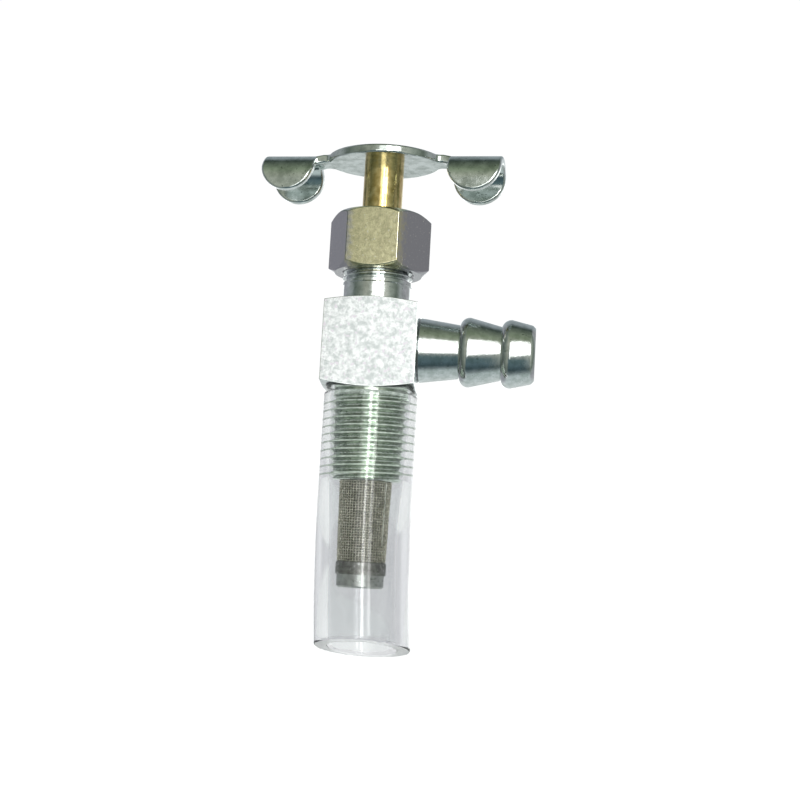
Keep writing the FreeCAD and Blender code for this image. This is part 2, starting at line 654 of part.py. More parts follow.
# The cap of the strainer: a shallow cup whose neck stands inside the gauze
def make_strainer_plug():
    body = new_body("strainer_plug")
    wall = cell("plug_wall")
    rim = cell("plug_dia") / 2
    seam, bottom, top = -cell("ferrule_bottom"), -cell("plug_bottom"), -cell("ferrule_top")
    neck = cell("gauze_end_dia") / 2 - cell("gauze_wall") - cell("pressed_gap")
    corner = wall / 2
    turned(body, "pressed_cup", [(0, bottom), (rim - corner, bottom), (rim, bottom + corner), (rim, seam),
                                 (neck, seam), (neck, top), (neck - wall, top), (neck - wall, bottom + wall),
                                 (0, bottom + wall)])
    return finish(body, "strainer_plug")


# The guard sleeve: soft tube swept along a line that is straight over the thread and then keeps its curl
def make_guard_sleeve():
    body = new_body("guard_sleeve")
    top = -cell("sleeve_top")
    bend = top - cell("sleeve_straight")
    curl = cell("sleeve_curl_radius")
    longest = cell("sleeve_back_length") + sleeve_radius
    section = new_sketch(body, "tube_section", "XY_Plane", top)
    add_circle(section, 0, 0, sleeve_radius)
    add_circle(section, 0, 0, cell("sleeve_bore_dia") / 2)
    spine = new_sketch(body, "tube_line", "XZ_Plane")
    fall = longest + bend
    end = (curl - root(curl * curl - fall * fall), -longest)
    start, middle = Vector(0, top.number, 0), Vector(0, bend.number, 0)
    spine.addGeometry(Part.LineSegment(start, middle), False)
    spine.addGeometry(arc_through(middle, Vector(end[0].number, end[1].number, 0), curl.number), False)
    spine.addConstraint(Sketcher.Constraint("Coincident", 0, 2, 1, 1))
    for edge, point, x, y in ((0, 1, as_size(0), top), (0, 2, as_size(0), bend), (1, 2, end[0], end[1])):
        for kind, size in (("DistanceX", x), ("DistanceY", y)):
            number = spine.addConstraint(Sketcher.Constraint(kind, -1, 1, edge, point, size.number))
            spine.setExpression(f"Constraints[{number}]", size.formula)
    number = spine.addConstraint(Sketcher.Constraint("Radius", 1, curl.number))
    spine.setExpression(f"Constraints[{number}]", curl.formula)
    doc.recompute()
    tube = body.newObject("PartDesign::AdditivePipe", "swept_tube")
    tube.Profile = section
    tube.Spine = spine
    doc.recompute()

    # the thread has stretched the upper end, so that its bore follows the taper
    gap = cell("sleeve_grip_gap")
    wide_end = thread_top - cell("tank_lead") / 2
    narrow_end = thread_end - gap
    turned(body, "stretched_bore", [(0, top), (sleeve_grip_radius, top), (sleeve_grip_radius, wide_end),
                                    (small_end_radius + gap, narrow_end),
                                    (cell("sleeve_bore_dia") / 2, narrow_end - cell("sleeve_throat")),
                                    (0, narrow_end - cell("sleeve_throat"))], cut=True)

    # the lower end is cut off aslant, from the short front to the long back
    half = sleeve_radius
    front, back = cell("sleeve_front_length"), cell("sleeve_back_length")
    slope = (back - front) / 2
    waste = new_sketch(body, "slanting_cut_waste", "YZ_Plane")
    outline(waste, [(-half * 2, slope - front), (half * 2, -back - slope), (half * 2, -back * 2),
                    (-half * 2, -back * 2)])
    pocket(body, "slanting_cut", waste, half * 4, both_ways=True)
    return finish(body, "guard_sleeve")


NODES = [
    make_tap_body(),
    make_hose_tail(),
    make_gland_nut(),
    make_ring("packing_ring_lower", packing_floor, packing_floor + cell("packing_height"), stem_bore_radius,
              packing_radius),
    make_ring("packing_ring_upper", packing_floor + cell("packing_height"), follower_floor, stem_bore_radius,
              packing_radius),
    make_ring("gland_follower", follower_floor, nut_ceiling, stem_bore_radius, packing_radius),
    make_spindle(),
    make_valve_cone(),
    make_handle(),
    make_strainer_gauze(),
    make_ring("strainer_ring", thread_end, gauze_top, gauze_radius - cell("gauze_wall") - cell("ring_wall"),
              gauze_radius - cell("gauze_wall") - cell("pressed_gap")),
    make_strainer_ferrule(),
    make_strainer_plug(),
    make_guard_sleeve(),
]

# Every feature must have been worked out, and every piece must be one valid solid, before any file is written
doc.recompute()
for thing in doc.Objects:
    if "Invalid" in thing.State or "Error" in thing.State:
        raise RuntimeError(f"{thing.Name} did not work out: {thing.State}")
os.makedirs("parts", exist_ok=True)
for body in NODES:
    if body.Shape.isNull() or not body.Shape.isValid() or len(body.Shape.Solids) != 1:
        raise RuntimeError(f"{body.Label} is not one valid solid")
    body.Shape.exportStep(f"parts/{body.Label}.step")
    box = body.Shape.BoundBox
    print(f"{body.Label}: {box.XLength:.2f} x {box.YLength:.2f} x {box.ZLength:.2f} mm, "
          f"{body.Shape.Volume:.1f} mm3")
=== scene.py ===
# %% [markdown]
# # A screw-in tap, dressed for the camera
# The tap is 88 mm high: a square plated body with a taper thread below, a threaded neck with a hexagon
# gland nut above, a barbed hose tail, a brass spindle with a wing handle, a gauze strainer and a clear
# guard sleeve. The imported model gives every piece's place. It is loaded first and never moved.

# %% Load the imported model
import math
import bmesh
import bpy
from mathutils import Matrix, Vector


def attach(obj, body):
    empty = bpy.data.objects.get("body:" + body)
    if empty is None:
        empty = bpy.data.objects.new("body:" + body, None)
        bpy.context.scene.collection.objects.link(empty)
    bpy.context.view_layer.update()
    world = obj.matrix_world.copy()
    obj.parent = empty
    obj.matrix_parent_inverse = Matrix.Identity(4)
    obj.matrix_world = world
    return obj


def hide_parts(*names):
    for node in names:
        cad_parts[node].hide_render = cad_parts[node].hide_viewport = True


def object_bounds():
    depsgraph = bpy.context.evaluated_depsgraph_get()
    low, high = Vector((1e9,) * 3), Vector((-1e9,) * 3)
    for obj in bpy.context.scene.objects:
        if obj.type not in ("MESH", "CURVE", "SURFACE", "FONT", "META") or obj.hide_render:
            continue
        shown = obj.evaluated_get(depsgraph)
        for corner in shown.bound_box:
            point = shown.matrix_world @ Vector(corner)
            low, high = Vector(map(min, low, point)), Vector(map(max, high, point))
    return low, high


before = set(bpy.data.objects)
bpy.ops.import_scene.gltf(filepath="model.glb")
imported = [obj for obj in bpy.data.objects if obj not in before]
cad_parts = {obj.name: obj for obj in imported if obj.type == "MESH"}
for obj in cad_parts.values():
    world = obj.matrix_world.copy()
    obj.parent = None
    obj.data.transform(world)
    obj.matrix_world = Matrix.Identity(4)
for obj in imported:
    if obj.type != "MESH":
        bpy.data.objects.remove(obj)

MM = 0.001
FULL_TURN = math.tau
cad_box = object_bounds()
print("CAD box in mm:", [[round(c / MM, 2) for c in corner] for corner in cad_box])

# %% [markdown]
# ## The camera
# The photograph was taken from close by, a little below the tap's middle and a little to the right, with
# the camera rolled so that the tap leans. A camera is a place, a direction and a roll, and these three were
# worked out from the corners of the square body, the nut and the handle. The matrix is built from its three
# axes, because that says plainly where the picture's right and up point.

# %% The camera from its direction, distance and roll
CAMERA_AZIMUTH = math.radians(5.44)
CAMERA_ELEVATION = math.radians(-7.404)
CAMERA_ROLL = math.radians(3.247)
CAMERA_PLACE = Vector((27.25, -233.24, -31.46)) * MM
CAMERA_LENS = 62.2

backward = Vector((math.sin(CAMERA_AZIMUTH) * math.cos(CAMERA_ELEVATION),
                   -math.cos(CAMERA_AZIMUTH) * math.cos(CAMERA_ELEVATION), math.sin(CAMERA_ELEVATION)))
level_right = Vector((math.cos(CAMERA_AZIMUTH), math.sin(CAMERA_AZIMUTH), 0))
level_up = backward.cross(level_right)
picture_right = level_right * math.cos(CAMERA_ROLL) + level_up * math.sin(CAMERA_ROLL)
picture_up = level_up * math.cos(CAMERA_ROLL) - level_right * math.sin(CAMERA_ROLL)

camera = bpy.data.objects.new("camera", bpy.data.cameras.new("camera"))
bpy.context.scene.collection.objects.link(camera)
camera.data.lens = CAMERA_LENS
camera.data.sensor_width = 36
camera.data.clip_start = 0.01
camera.data.clip_end = 20
camera_axes = Matrix((picture_right, picture_up, backward)).transposed().to_4x4()
camera.matrix_world = Matrix.Translation(CAMERA_PLACE) @ camera_axes
bpy.context.scene.camera = camera
print("camera", [round(c / MM, 1) for c in CAMERA_PLACE], "mm, lens", CAMERA_LENS, "mm")

# %% [markdown]
# ## Floor and light
# Bright metal shows nothing but what stands round it, so the light is made of large soft areas. A white box
# stands in front beside the camera and gives the pale line down each round piece, and two bright tubes
# inside it draw the thin white streaks. A step at the box's lower left lights the whole square body and
# leaves the nut above it golden. Above the box the ceiling is a dull olive grey, the table below it is
# dark, the walls at the sides are dim, and behind the tap it is pale. The sky's shader makes all of that
# from a ray's direction. The eye itself, also through the clear sleeve, sees plain white behind the tap,
# and light that has crossed only a few walls of plastic is mixed with an even pale glow. The tap is made to
# hang in a tank's outlet, so the pale floor lies 47 mm under its sleeve, which leaves room to pull the
# sleeve off in sight.

# %% A pale floor, below the sleeve's whole pull
def select_only(piece):
    """Leave nothing selected but this piece, so that an operator acts on it alone."""
    bpy.ops.object.select_all(action="DESELECT")
    piece.select_set(True)
    bpy.context.view_layer.objects.active = piece


SLEEVE_PULL = 46
FLOOR_LEVEL = cad_box[0][2] - (SLEEVE_PULL + 1) * MM
FLOOR_RADIUS = 3.0
FLOOR_GLOW = 0.68

bpy.ops.object.select_all(action="DESELECT")
bpy.ops.mesh.primitive_circle_add(vertices=96, radius=FLOOR_RADIUS, fill_type="NGON",
                                  location=(0, 0, FLOOR_LEVEL))
floor = bpy.context.active_object
floor.name = "floor"
floor_paint = bpy.data.materials.new("pale_floor")
floor_paint.use_nodes = True
floor_shader = floor_paint.node_tree.nodes["Principled BSDF"]
floor_shader.inputs["Base Color"].default_value = (0.9, 0.9, 0.9, 1)
floor_shader.inputs["Roughness"].default_value = 0.9
floor_shader.inputs["Emission Color"].default_value = (1, 1, 1, 1)
floor_shader.inputs["Emission Strength"].default_value = FLOOR_GLOW
floor.data.materials.append(floor_paint)
floor.visible_glossy = False
print("floor at", round(FLOOR_LEVEL / MM, 2), "mm")

# %% Helpers that join shader nodes
def add_node(tree, kind, **settings):
    """Add a node and set its named options."""
    node = tree.nodes.new(kind)
    for option, value in settings.items():
        setattr(node, option, value)
    return node


def calculate(tree, operation, *values):
    """A Math node of one to three values, each a number or another node's output."""
    node = add_node(tree, "ShaderNodeMath", operation=operation)
    for socket, value in zip(node.inputs, values):
        if isinstance(value, (int, float)):
            socket.default_value = value
        else:
            tree.links.new(value, socket)
    return node.outputs[0]


def rescaled(tree, value, start, end, to_start=0.0, to_end=1.0, smooth=False):
    """A Map Range node, which turns start into to_start and end into to_end."""
    node = add_node(tree, "ShaderNodeMapRange", interpolation_type="SMOOTHSTEP" if smooth else "LINEAR")
    limits = {"From Min": start, "From Max": end, "To Min": to_start, "To Max": to_end}
    for socket, limit in limits.items():
        node.inputs[socket].default_value = limit
    tree.links.new(value, node.inputs["Value"])
    return node.outputs[0]


def blended(tree, factor, first, second):
    """The first colour where the factor is nought, the second where it is one."""
    node = add_node(tree, "ShaderNodeMix", data_type="RGBA")
    for socket, value in (("Factor", factor), ("A", first), ("B", second)):
        if isinstance(value, tuple):
            node.inputs[socket].default_value = (*value, 1)
        else:
            tree.links.new(value, node.inputs[socket])
    return node.outputs["Result"]


def colour_steps(tree, factor, steps):
    """A colour ramp with its stops given as (place, (red, green, blue))."""
    node = add_node(tree, "ShaderNodeValToRGB")
    elements = node.color_ramp.elements
    while len(elements) < len(steps):
        elements.new(0.5)
    for element, (place, colour) in zip(elements, steps):
        element.position = place
        element.color = (*colour, 1)
    tree.links.new(factor, node.inputs["Fac"])
    return node.outputs["Color"]


print("five helpers")

# %% What stands in the room, at angles in degrees round the tap
BACK_WALL, BACK_CORNER = (1.70, 1.72, 1.72), (1.20, 1.22, 1.22)
ROOM_BANDS = [
    (-180, BACK_WALL), (-172, (0.60, 0.63, 0.63)), (-150, (0.72, 0.77, 0.77)), (-90, (0.50, 0.57, 0.57)),
    (-76, (0.18, 0.22, 0.23)), (-66, (0.05, 0.08, 0.09)), (-50, (0.09, 0.14, 0.16)), (-30, (0.11, 0.17, 0.18)),
    (-18, (0.30, 0.33, 0.32)), (30, (0.42, 0.44, 0.36)), (55, (0.24, 0.29, 0.20)), (80, (0.14, 0.17, 0.13)),
    (100, (0.05, 0.07, 0.06)), (118, (0.28, 0.32, 0.34)), (160, (0.45, 0.50, 0.53)), (169, BACK_WALL),
]
SIDE_WALLS = [
    (-180, BACK_CORNER), (-145, (0.34, 0.34, 0.38)), (-115, (0.36, 0.38, 0.40)), (-90, (0.34, 0.37, 0.37)),
    (-76, (0.12, 0.15, 0.13)), (-48, (0.26, 0.29, 0.25)), (-22, (0.52, 0.52, 0.44)), (36, (0.62, 0.63, 0.56)),
    (52, (0.34, 0.38, 0.33)), (76, (0.15, 0.18, 0.15)), (90, (0.34, 0.37, 0.36)), (112, (0.36, 0.36, 0.38)),
    (150, (0.50, 0.50, 0.52)), (171, BACK_CORNER),
]
WALLS_BEGIN, WALLS_ALONE = 0.3, 0.62
BOX_LEFT, BOX_RIGHT, BOX_SIDE_BLUR = -10, 28, 0.8
BOX_LOW, BOX_HIGH, BOX_END_BLUR = -21, 31, 3
BOX_TILT = 0.45
BOX_COLOUR = (1.85, 1.85, 1.80)
STEP_LEFT, STEP_RIGHT, STEP_SIDE_BLUR = -13, 0, 1
STEP_LOW, STEP_HIGH, STEP_END_BLUR = -24, 11.6, 0.4
TUBES = [(5, 11, (13.0, 13.0, 12.8)), (20, 26, (8.0, 8.0, 7.9))]
TUBE_LOW, TUBE_HIGH = -14, 20
TUBE_SIDE_BLUR, TUBE_END_BLUR = 1.5, 3
print("room of", len(ROOM_BANDS), "bands and a white box", BOX_RIGHT - BOX_LEFT, "degrees wide")

# %% The room as the metal mirrors it
world = bpy.data.worlds.new("room")
bpy.context.scene.world = world
world.use_nodes = True
room = world.node_tree
room.nodes.clear()
direction = add_node(room, "ShaderNodeTexCoord").outputs["Generated"]
split = add_node(room, "ShaderNodeSeparateXYZ")
room.links.new(direction, split.inputs[0])
frontward = calculate(room, "MULTIPLY", split.outputs["Y"], -1)
round_angle = calculate(room, "ARCTAN2", split.outputs["Z"], frontward)
azimuth = calculate(room, "ARCTAN2", split.outputs["X"], frontward)
leaning_angle = calculate(room, "SUBTRACT", round_angle, calculate(room, "MULTIPLY", azimuth, BOX_TILT))


def round_the_circle(angle, stops):
    """Bands of colour with stops in degrees, joined where the circle closes; the angle is in radians."""
    closed = stops + [(180, stops[0][1])]
    place = calculate(room, "MULTIPLY_ADD", angle, 1 / FULL_TURN, 0.5)
    return colour_steps(room, place, [((degrees + 180) / 360, colour) for degrees, colour in closed])


def window_between(angle, low, high, blur):
    """One between two limits in degrees and nought outside them; the angle is in radians."""
    rising = rescaled(room, angle, math.radians(low - blur), math.radians(low + blur), smooth=True)
    falling = rescaled(room, angle, math.radians(high + blur), math.radians(high - blur), smooth=True)
    return calculate(room, "MULTIPLY", rising, falling)


def pane(across, upward):
    """Where both windows are open."""
    return calculate(room, "MULTIPLY", across, upward)


sideward = calculate(room, "ABSOLUTE", split.outputs["X"])
mirrored = blended(room, rescaled(room, sideward, WALLS_BEGIN, WALLS_ALONE, smooth=True),
                   round_the_circle(round_angle, ROOM_BANDS), round_the_circle(azimuth, SIDE_WALLS))
box_mask = pane(window_between(azimuth, BOX_LEFT, BOX_RIGHT, BOX_SIDE_BLUR),
                window_between(leaning_angle, BOX_LOW, BOX_HIGH, BOX_END_BLUR))
step_mask = pane(window_between(azimuth, STEP_LEFT, STEP_RIGHT, STEP_SIDE_BLUR),
                 window_between(round_angle, STEP_LOW, STEP_HIGH, STEP_END_BLUR))
mirrored = blended(room, calculate(room, "MAXIMUM", box_mask, step_mask), mirrored, BOX_COLOUR)
tube_upright = window_between(leaning_angle, TUBE_LOW, TUBE_HIGH, TUBE_END_BLUR)
for tube_left, tube_right, tube_colour in TUBES:
    tube_mask = pane(window_between(azimuth, tube_left, tube_right, TUBE_SIDE_BLUR), tube_upright)
    mirrored = blended(room, tube_mask, mirrored, tube_colour)
print("room of", len(room.nodes), "nodes")

# %% The same room as the eye and the clear plastic see it
WHITE_STRENGTH = 1.02
PLASTIC_GLOW = (0.90, 0.91, 0.92)
GLOW_SHARE = 0.8
MOST_WALLS = 2.5

ray = add_node(room, "ShaderNodeLightPath")
few_walls = calculate(room, "LESS_THAN", ray.outputs["Transmission Depth"], MOST_WALLS)
inside_plastic = calculate(room, "MULTIPLY", ray.outputs["Is Transmission Ray"], few_walls)
glow = calculate(room, "MULTIPLY", inside_plastic, GLOW_SHARE)
not_mirrored = calculate(room, "LESS_THAN", ray.outputs["Glossy Depth"], 0.5)
seen_through = calculate(room, "MULTIPLY", ray.outputs["Is Transmission Ray"], not_mirrored)
seen_directly = calculate(room, "MAXIMUM", ray.outputs["Is Camera Ray"], seen_through)
studio = add_node(room, "ShaderNodeBackground")
room.links.new(blended(room, glow, mirrored, PLASTIC_GLOW), studio.inputs["Color"])
white = add_node(room, "ShaderNodeBackground")
white.inputs["Color"].default_value = (1.0, 1.0, 1.0, 1)
white.inputs["Strength"].default_value = WHITE_STRENGTH
both = add_node(room, "ShaderNodeMixShader")
room.links.new(seen_directly, both.inputs["Fac"])
room.links.new(studio.outputs[0], both.inputs[1])
room.links.new(white.outputs[0], both.inputs[2])
output = add_node(room, "ShaderNodeOutputWorld")
room.links.new(both.outputs[0], output.inputs["Surface"])
bpy.context.scene.view_settings.view_transform = "Standard"
print("background of strength", WHITE_STRENGTH)

# %% Two soft lights for floor and shadows
def soft_light(name, place, size, power):
    """A square area light that looks at the middle of the tap."""
    lamp = bpy.data.objects.new(name, bpy.data.lights.new(name, "AREA"))
    bpy.context.scene.collection.objects.link(lamp)
    lamp.data.shape = "SQUARE"
    lamp.data.size = size
    lamp.data.energy = power
    lamp.location = place
    lamp.rotation_euler = (-lamp.location).to_track_quat("-Z", "Y").to_euler()
    lamp.visible_glossy = False


soft_light("overhead", (0.1, -0.3, 0.9), 1.0, 2.6)
soft_light("front", (0.15, -0.9, 0.3), 0.7, 1.2)
print("two area lights")

# %% [markdown]
# ## The finishes
# Every metal here is a principled shader with its metallic value at one. What tells zinc from brass and a
# pressed sheet from a turned bar is colour, gloss, and small unevenness: spangle, specks and stains in the
# plating, and a fine grain. Noise in the piece's own space gives each of them at its real size in
# millimetres. The nut is painted golden on its front and back faces and a darker grey at its sides. This
# follows the way each face looks, so it is a painted reflection and painted shade.

# %% A metal made of stains, grain and turning lines
def new_finish(name):
    """A material with its node tree, its shader and the coordinates of the piece that wears it."""
    paint = bpy.data.materials.new(name)
    paint.use_nodes = True
    tree = paint.node_tree
    place = add_node(tree, "ShaderNodeTexCoord").outputs["Object"]
    return paint, tree, tree.nodes["Principled BSDF"], place


def noise(tree, place, size_mm, detail=4, stretch=(1, 1, 1)):
    """Noise whose patches are about this many millimetres across."""
    mapping = add_node(tree, "ShaderNodeMapping")
    mapping.inputs["Scale"].default_value = stretch
    tree.links.new(place, mapping.inputs["Vector"])
    node = add_node(tree, "ShaderNodeTexNoise")
    node.inputs["Scale"].default_value = 1 / (size_mm * MM)
    node.inputs["Detail"].default_value = detail
    node.inputs["Roughness"].default_value = 0.55
    tree.links.new(mapping.outputs["Vector"], node.inputs["Vector"])
    return node.outputs["Fac"]


def add_bump(tree, shader, height, depth_mm, strength=1.0):
    """Let a pattern of heights tilt the surface."""
    bump = add_node(tree, "ShaderNodeBump")
    bump.inputs["Strength"].default_value = strength
    bump.inputs["Distance"].default_value = depth_mm * MM
    tree.links.new(height, bump.inputs["Height"])
    tree.links.new(bump.outputs["Normal"], shader.inputs["Normal"])


# Painted shade: on the nut this gives the side faces a darker grey than the golden front and back.
def painted_side_shade(tree, place, patches, colour, half_width_mm, painted_shade_colour):
    """Another colour further than this from the middle plane, with a ragged border."""
    across = add_node(tree, "ShaderNodeSeparateXYZ")
    tree.links.new(place, across.inputs[0])
    off_middle = calculate(tree, "ABSOLUTE", across.outputs["X"])
    ragged = calculate(tree, "MULTIPLY_ADD", patches, 3 * MM, off_middle)
    share = rescaled(tree, ragged, (half_width_mm + 0.5) * MM, (half_width_mm + 2.5) * MM, smooth=True)
    return blended(tree, share, colour, painted_shade_colour)


def metal(name, pale, dark, gloss, patch_mm, grain_mm, grain_mm_deep, balance=(0.35, 0.65), speck=None,
          sides=None):
    """A plated or bare metal: two colours in patches, uneven gloss, and fine grain as bump."""
    paint, tree, shader, place = new_finish(name)
    shader.inputs["Metallic"].default_value = 1.0
    patches = noise(tree, place, patch_mm)
    colour = colour_steps(tree, patches, [(balance[0], dark), (balance[1], pale)])
    # Where sides are given, the side faces get a painted shade set by their facing.
    if sides:
        colour = painted_side_shade(tree, place, patches, colour, *sides)
    if speck:
        speck_mm, speck_colour, amount = speck
        dots = noise(tree, place, speck_mm, detail=2)
        dot_mask = colour_steps(tree, dots, [(amount, (0, 0, 0)), (amount + 0.05, (1, 1, 1))])
        colour = blended(tree, dot_mask, colour, speck_colour)
    tree.links.new(colour, shader.inputs["Base Color"])
    haze = noise(tree, place, patch_mm * 0.6)
    tree.links.new(rescaled(tree, haze, 0.3, 0.7, *gloss), shader.inputs["Roughness"])
    add_bump(tree, shader, noise(tree, place, grain_mm, detail=6), grain_mm_deep, strength=0.5)
    return paint


METALS = {
    "body_zinc": ((0.56, 0.58, 0.585), (0.36, 0.39, 0.39), (0.10, 0.18), 0.75, 0.22, 0.014),
    "turned_zinc": ((0.80, 0.83, 0.83), (0.58, 0.62, 0.60), (0.06, 0.18), 1.0, 0.45, 0.022),
    "thread_zinc": ((0.76, 0.83, 0.74), (0.48, 0.56, 0.47), (0.10, 0.24), 0.9, 0.3, 0.03),
    # The nut's gold is a painted reflection laid over its plating.
    "nut_plating_and_painted_reflection": ((0.80, 0.75, 0.49), (0.64, 0.60, 0.39), (0.14, 0.22), 0.9, 0.3, 0.010),
    "bright_sheet": ((0.74, 0.79, 0.77), (0.42, 0.47, 0.44), (0.06, 0.2), 1.9, 0.6, 0.025),
    "stem_brass": ((0.85, 0.69, 0.34), (0.56, 0.42, 0.15), (0.10, 0.24), 1.4, 0.3, 0.012),
    "cone_brass": ((0.70, 0.58, 0.30), (0.48, 0.38, 0.18), (0.2, 0.35), 1.6, 0.2, 0.008),
    "wire_steel": ((0.72, 0.70, 0.57), (0.38, 0.37, 0.28), (0.2, 0.4), 0.8, 0.12, 0.01),
    # Nearly black: painted shade for the imported gauze tube behind the wires.
    "gauze_shadow": ((0.20, 0.20, 0.16), (0.10, 0.10, 0.08), (0.35, 0.5), 0.5, 0.12, 0.03),
    # A paler copy of the wire steel for the gauze's cut edge: a painted highlight along that wire.
    "edge_wire_painted_highlight": ((0.92, 0.92, 0.82), (0.60, 0.60, 0.50), (0.4, 0.55), 0.5, 0.2, 0.03),
    "dull_ferrule": ((0.34, 0.34, 0.31), (0.16, 0.16, 0.14), (0.3, 0.5), 0.8, 0.2, 0.02),
    "plug_zinc": ((0.56, 0.58, 0.54), (0.38, 0.40, 0.37), (0.25, 0.4), 1.0, 0.25, 0.01),
}
EXTRAS = {
    "body_zinc": {"balance": (0.36, 0.60), "speck": (0.8, (0.47, 0.45, 0.49), 0.60)},
    "turned_zinc": {"speck": (0.5, (0.42, 0.47, 0.44), 0.66)},
    # The nut's darker grey sides are painted shade, set by the way each face looks.
    "nut_plating_and_painted_reflection": {"speck": (0.3, (0.90, 0.89, 0.80), 0.67), "sides": (4.4, (0.46, 0.455, 0.475))},
    "bright_sheet": {"balance": (0.34, 0.60), "speck": (0.6, (0.22, 0.26, 0.24), 0.66)},
    "dull_ferrule": {"speck": (0.4, (0.8, 0.8, 0.76), 0.64)},
}
finishes = {name: metal(name, *looks, **EXTRAS.get(name, {})) for name, looks in METALS.items()}
print("metals:", ", ".join(sorted(finishes)))

# %% Packing and clear plastic
def packing_fibre():
    """Graphited packing: nearly black, with a faint twist of fibres."""
    paint, tree, shader, place = new_finish("packing_fibre")
    fibres = noise(tree, place, 0.3, stretch=(1, 1, 3))
    tree.links.new(colour_steps(tree, fibres, [(0.3, (0.02, 0.02, 0.02)), (0.7, (0.09, 0.09, 0.085))]),
                   shader.inputs["Base Color"])
    shader.inputs["Roughness"].default_value = 0.7
    add_bump(tree, shader, fibres, 0.05)
    return paint


PLASTIC_IOR = 1.42


def clear_sleeve():
    """Soft clear plastic, slightly cloudy, with long faint flow lines."""
    paint, tree, shader, place = new_finish("clear_sleeve")
    shader.inputs["IOR"].default_value = PLASTIC_IOR
    shader.inputs["Transmission Weight"].default_value = 1.0
    cloud = noise(tree, place, 3.0, stretch=(1, 1, 0.25))
    tree.links.new(colour_steps(tree, cloud, [(0.3, (0.69, 0.70, 0.715)), (0.7, (0.79, 0.80, 0.81))]),
                   shader.inputs["Base Color"])
    tree.links.new(rescaled(tree, cloud, 0.0, 1.0, 0.02, 0.08), shader.inputs["Roughness"])
    flow_lines = noise(tree, place, 1.2, detail=2, stretch=(1, 1, 0.12))
    add_bump(tree, shader, flow_lines, 0.03, strength=0.4)
    return paint


def cut_plastic():
    """The faces that the knife left at the tube's ends: frosted, so they scatter light and look pale."""
    paint, tree, shader, place = new_finish("cut_plastic")
    shader.inputs["IOR"].default_value = PLASTIC_IOR
    shader.inputs["Transmission Weight"].default_value = 0.55
    shader.inputs["Roughness"].default_value = 0.45
    drag = noise(tree, place, 0.5, stretch=(1, 0.2, 1))
    tree.links.new(colour_steps(tree, drag, [(0.3, (0.74, 0.75, 0.76)), (0.7, (0.93, 0.94, 0.94))]),
                   shader.inputs["Base Color"])
    add_bump(tree, shader, drag, 0.05)
    return paint


finishes["packing_fibre"] = packing_fibre()
finishes["cut_plastic"] = cut_plastic()
finishes["clear_sleeve"] = clear_sleeve()
print(len(finishes), "finishes")

# %% [markdown]
# ## How a turned piece is made
# A lathe turns a bar while a tool follows the piece's outline. Spin does the same: one vertex is drawn
# along half of the section, edge by edge, and the line is then spun once round the axis. The section is
# given in millimetres as (radius, height), and a closed section gives a hollow piece. A flat side next to a
# rounded edge would be shaded as if it bulged, so the pieces with flats get weighted normals, which keep
# them plain.

# %% Draw a section and spin it
PAST = 1
CONE_RISE = 0.2


def draw_section(name, points):
    """One vertex, pulled along these points (x, y, z in mm), edge by edge."""
    bpy.ops.object.select_all(action="DESELECT")
    bpy.ops.mesh.primitive_plane_add(size=MM)
    piece = bpy.context.active_object
    piece.name = name
    bpy.ops.object.mode_set(mode="EDIT")
    bpy.ops.mesh.select_all(action="SELECT")
    bpy.ops.mesh.merge(type="CENTER")
    here = Vector((0, 0, 0))
    for index, point in enumerate(points):
        step = Vector(point) * MM - here
        here = Vector(point) * MM
        if index == 0:
            bpy.ops.transform.translate(value=step)
        else:
            bpy.ops.mesh.extrude_region_move(TRANSFORM_OT_translate={"value": step})
    bpy.ops.mesh.select_all(action="SELECT")
    bpy.ops.mesh.remove_doubles(threshold=0.001 * MM)
    return piece


def spun(name, section, steps=128, along_x_at=None):
    """Spin a section of (radius, place on the axis) once round the Z axis, or round X at the given height."""
    if along_x_at is None:
        points = [(radius, 0, level) for radius, level in section]
        centre, axis = (0, 0, 0), (0, 0, 1)
    else:
        points = [(x, 0, along_x_at + radius) for radius, x in section]
        centre, axis = (0, 0, along_x_at * MM), (1, 0, 0)
    piece = draw_section(name, points)
    bpy.ops.mesh.spin(steps=steps, angle=FULL_TURN, center=centre, axis=axis)
    bpy.ops.mesh.select_all(action="SELECT")
    bpy.ops.mesh.remove_doubles(threshold=0.001 * MM)
    bpy.ops.mesh.normals_make_consistent(inside=False)
    bpy.ops.object.mode_set(mode="OBJECT")
    return piece


def combine(piece, tool, operation):
    """Join, cut or intersect two solids, apply the result and delete the tool."""
    select_only(piece)
    modifier = piece.modifiers.new("combine", "BOOLEAN")
    modifier.operation = operation
    modifier.object = tool
    modifier.solver = "EXACT"
    bpy.ops.object.modifier_apply(modifier=modifier.name)
    bpy.data.objects.remove(tool)


def turn_ends(bar, half, corner, bottom, top, chamfer, land):
    """Chamfer a bar's ends as a lathe does, by keeping what lies inside a spun double cone."""
    past = corner + PAST
    drop = chamfer / (corner - half) * (past - half)
    double_cone = spun("double cone", [(0, bottom - CONE_RISE), (half - land, bottom), (past, bottom + drop),
                                       (past, top - drop), (half - land, top), (0, top + CONE_RISE)],
                       steps=192)
    combine(bar, double_cone, "INTERSECT")


def break_edges(piece, width_mm, segments, angle):
    """Round every edge that is sharper than the angle in degrees, with the Bevel modifier."""
    select_only(piece)
    modifier = piece.modifiers.new("broken edges", "BEVEL")
    modifier.width = width_mm * MM
    modifier.segments = segments
    modifier.limit_method = "ANGLE"
    modifier.angle_limit = math.radians(angle)
    modifier.use_clamp_overlap = False
    bpy.ops.object.modifier_apply(modifier=modifier.name)


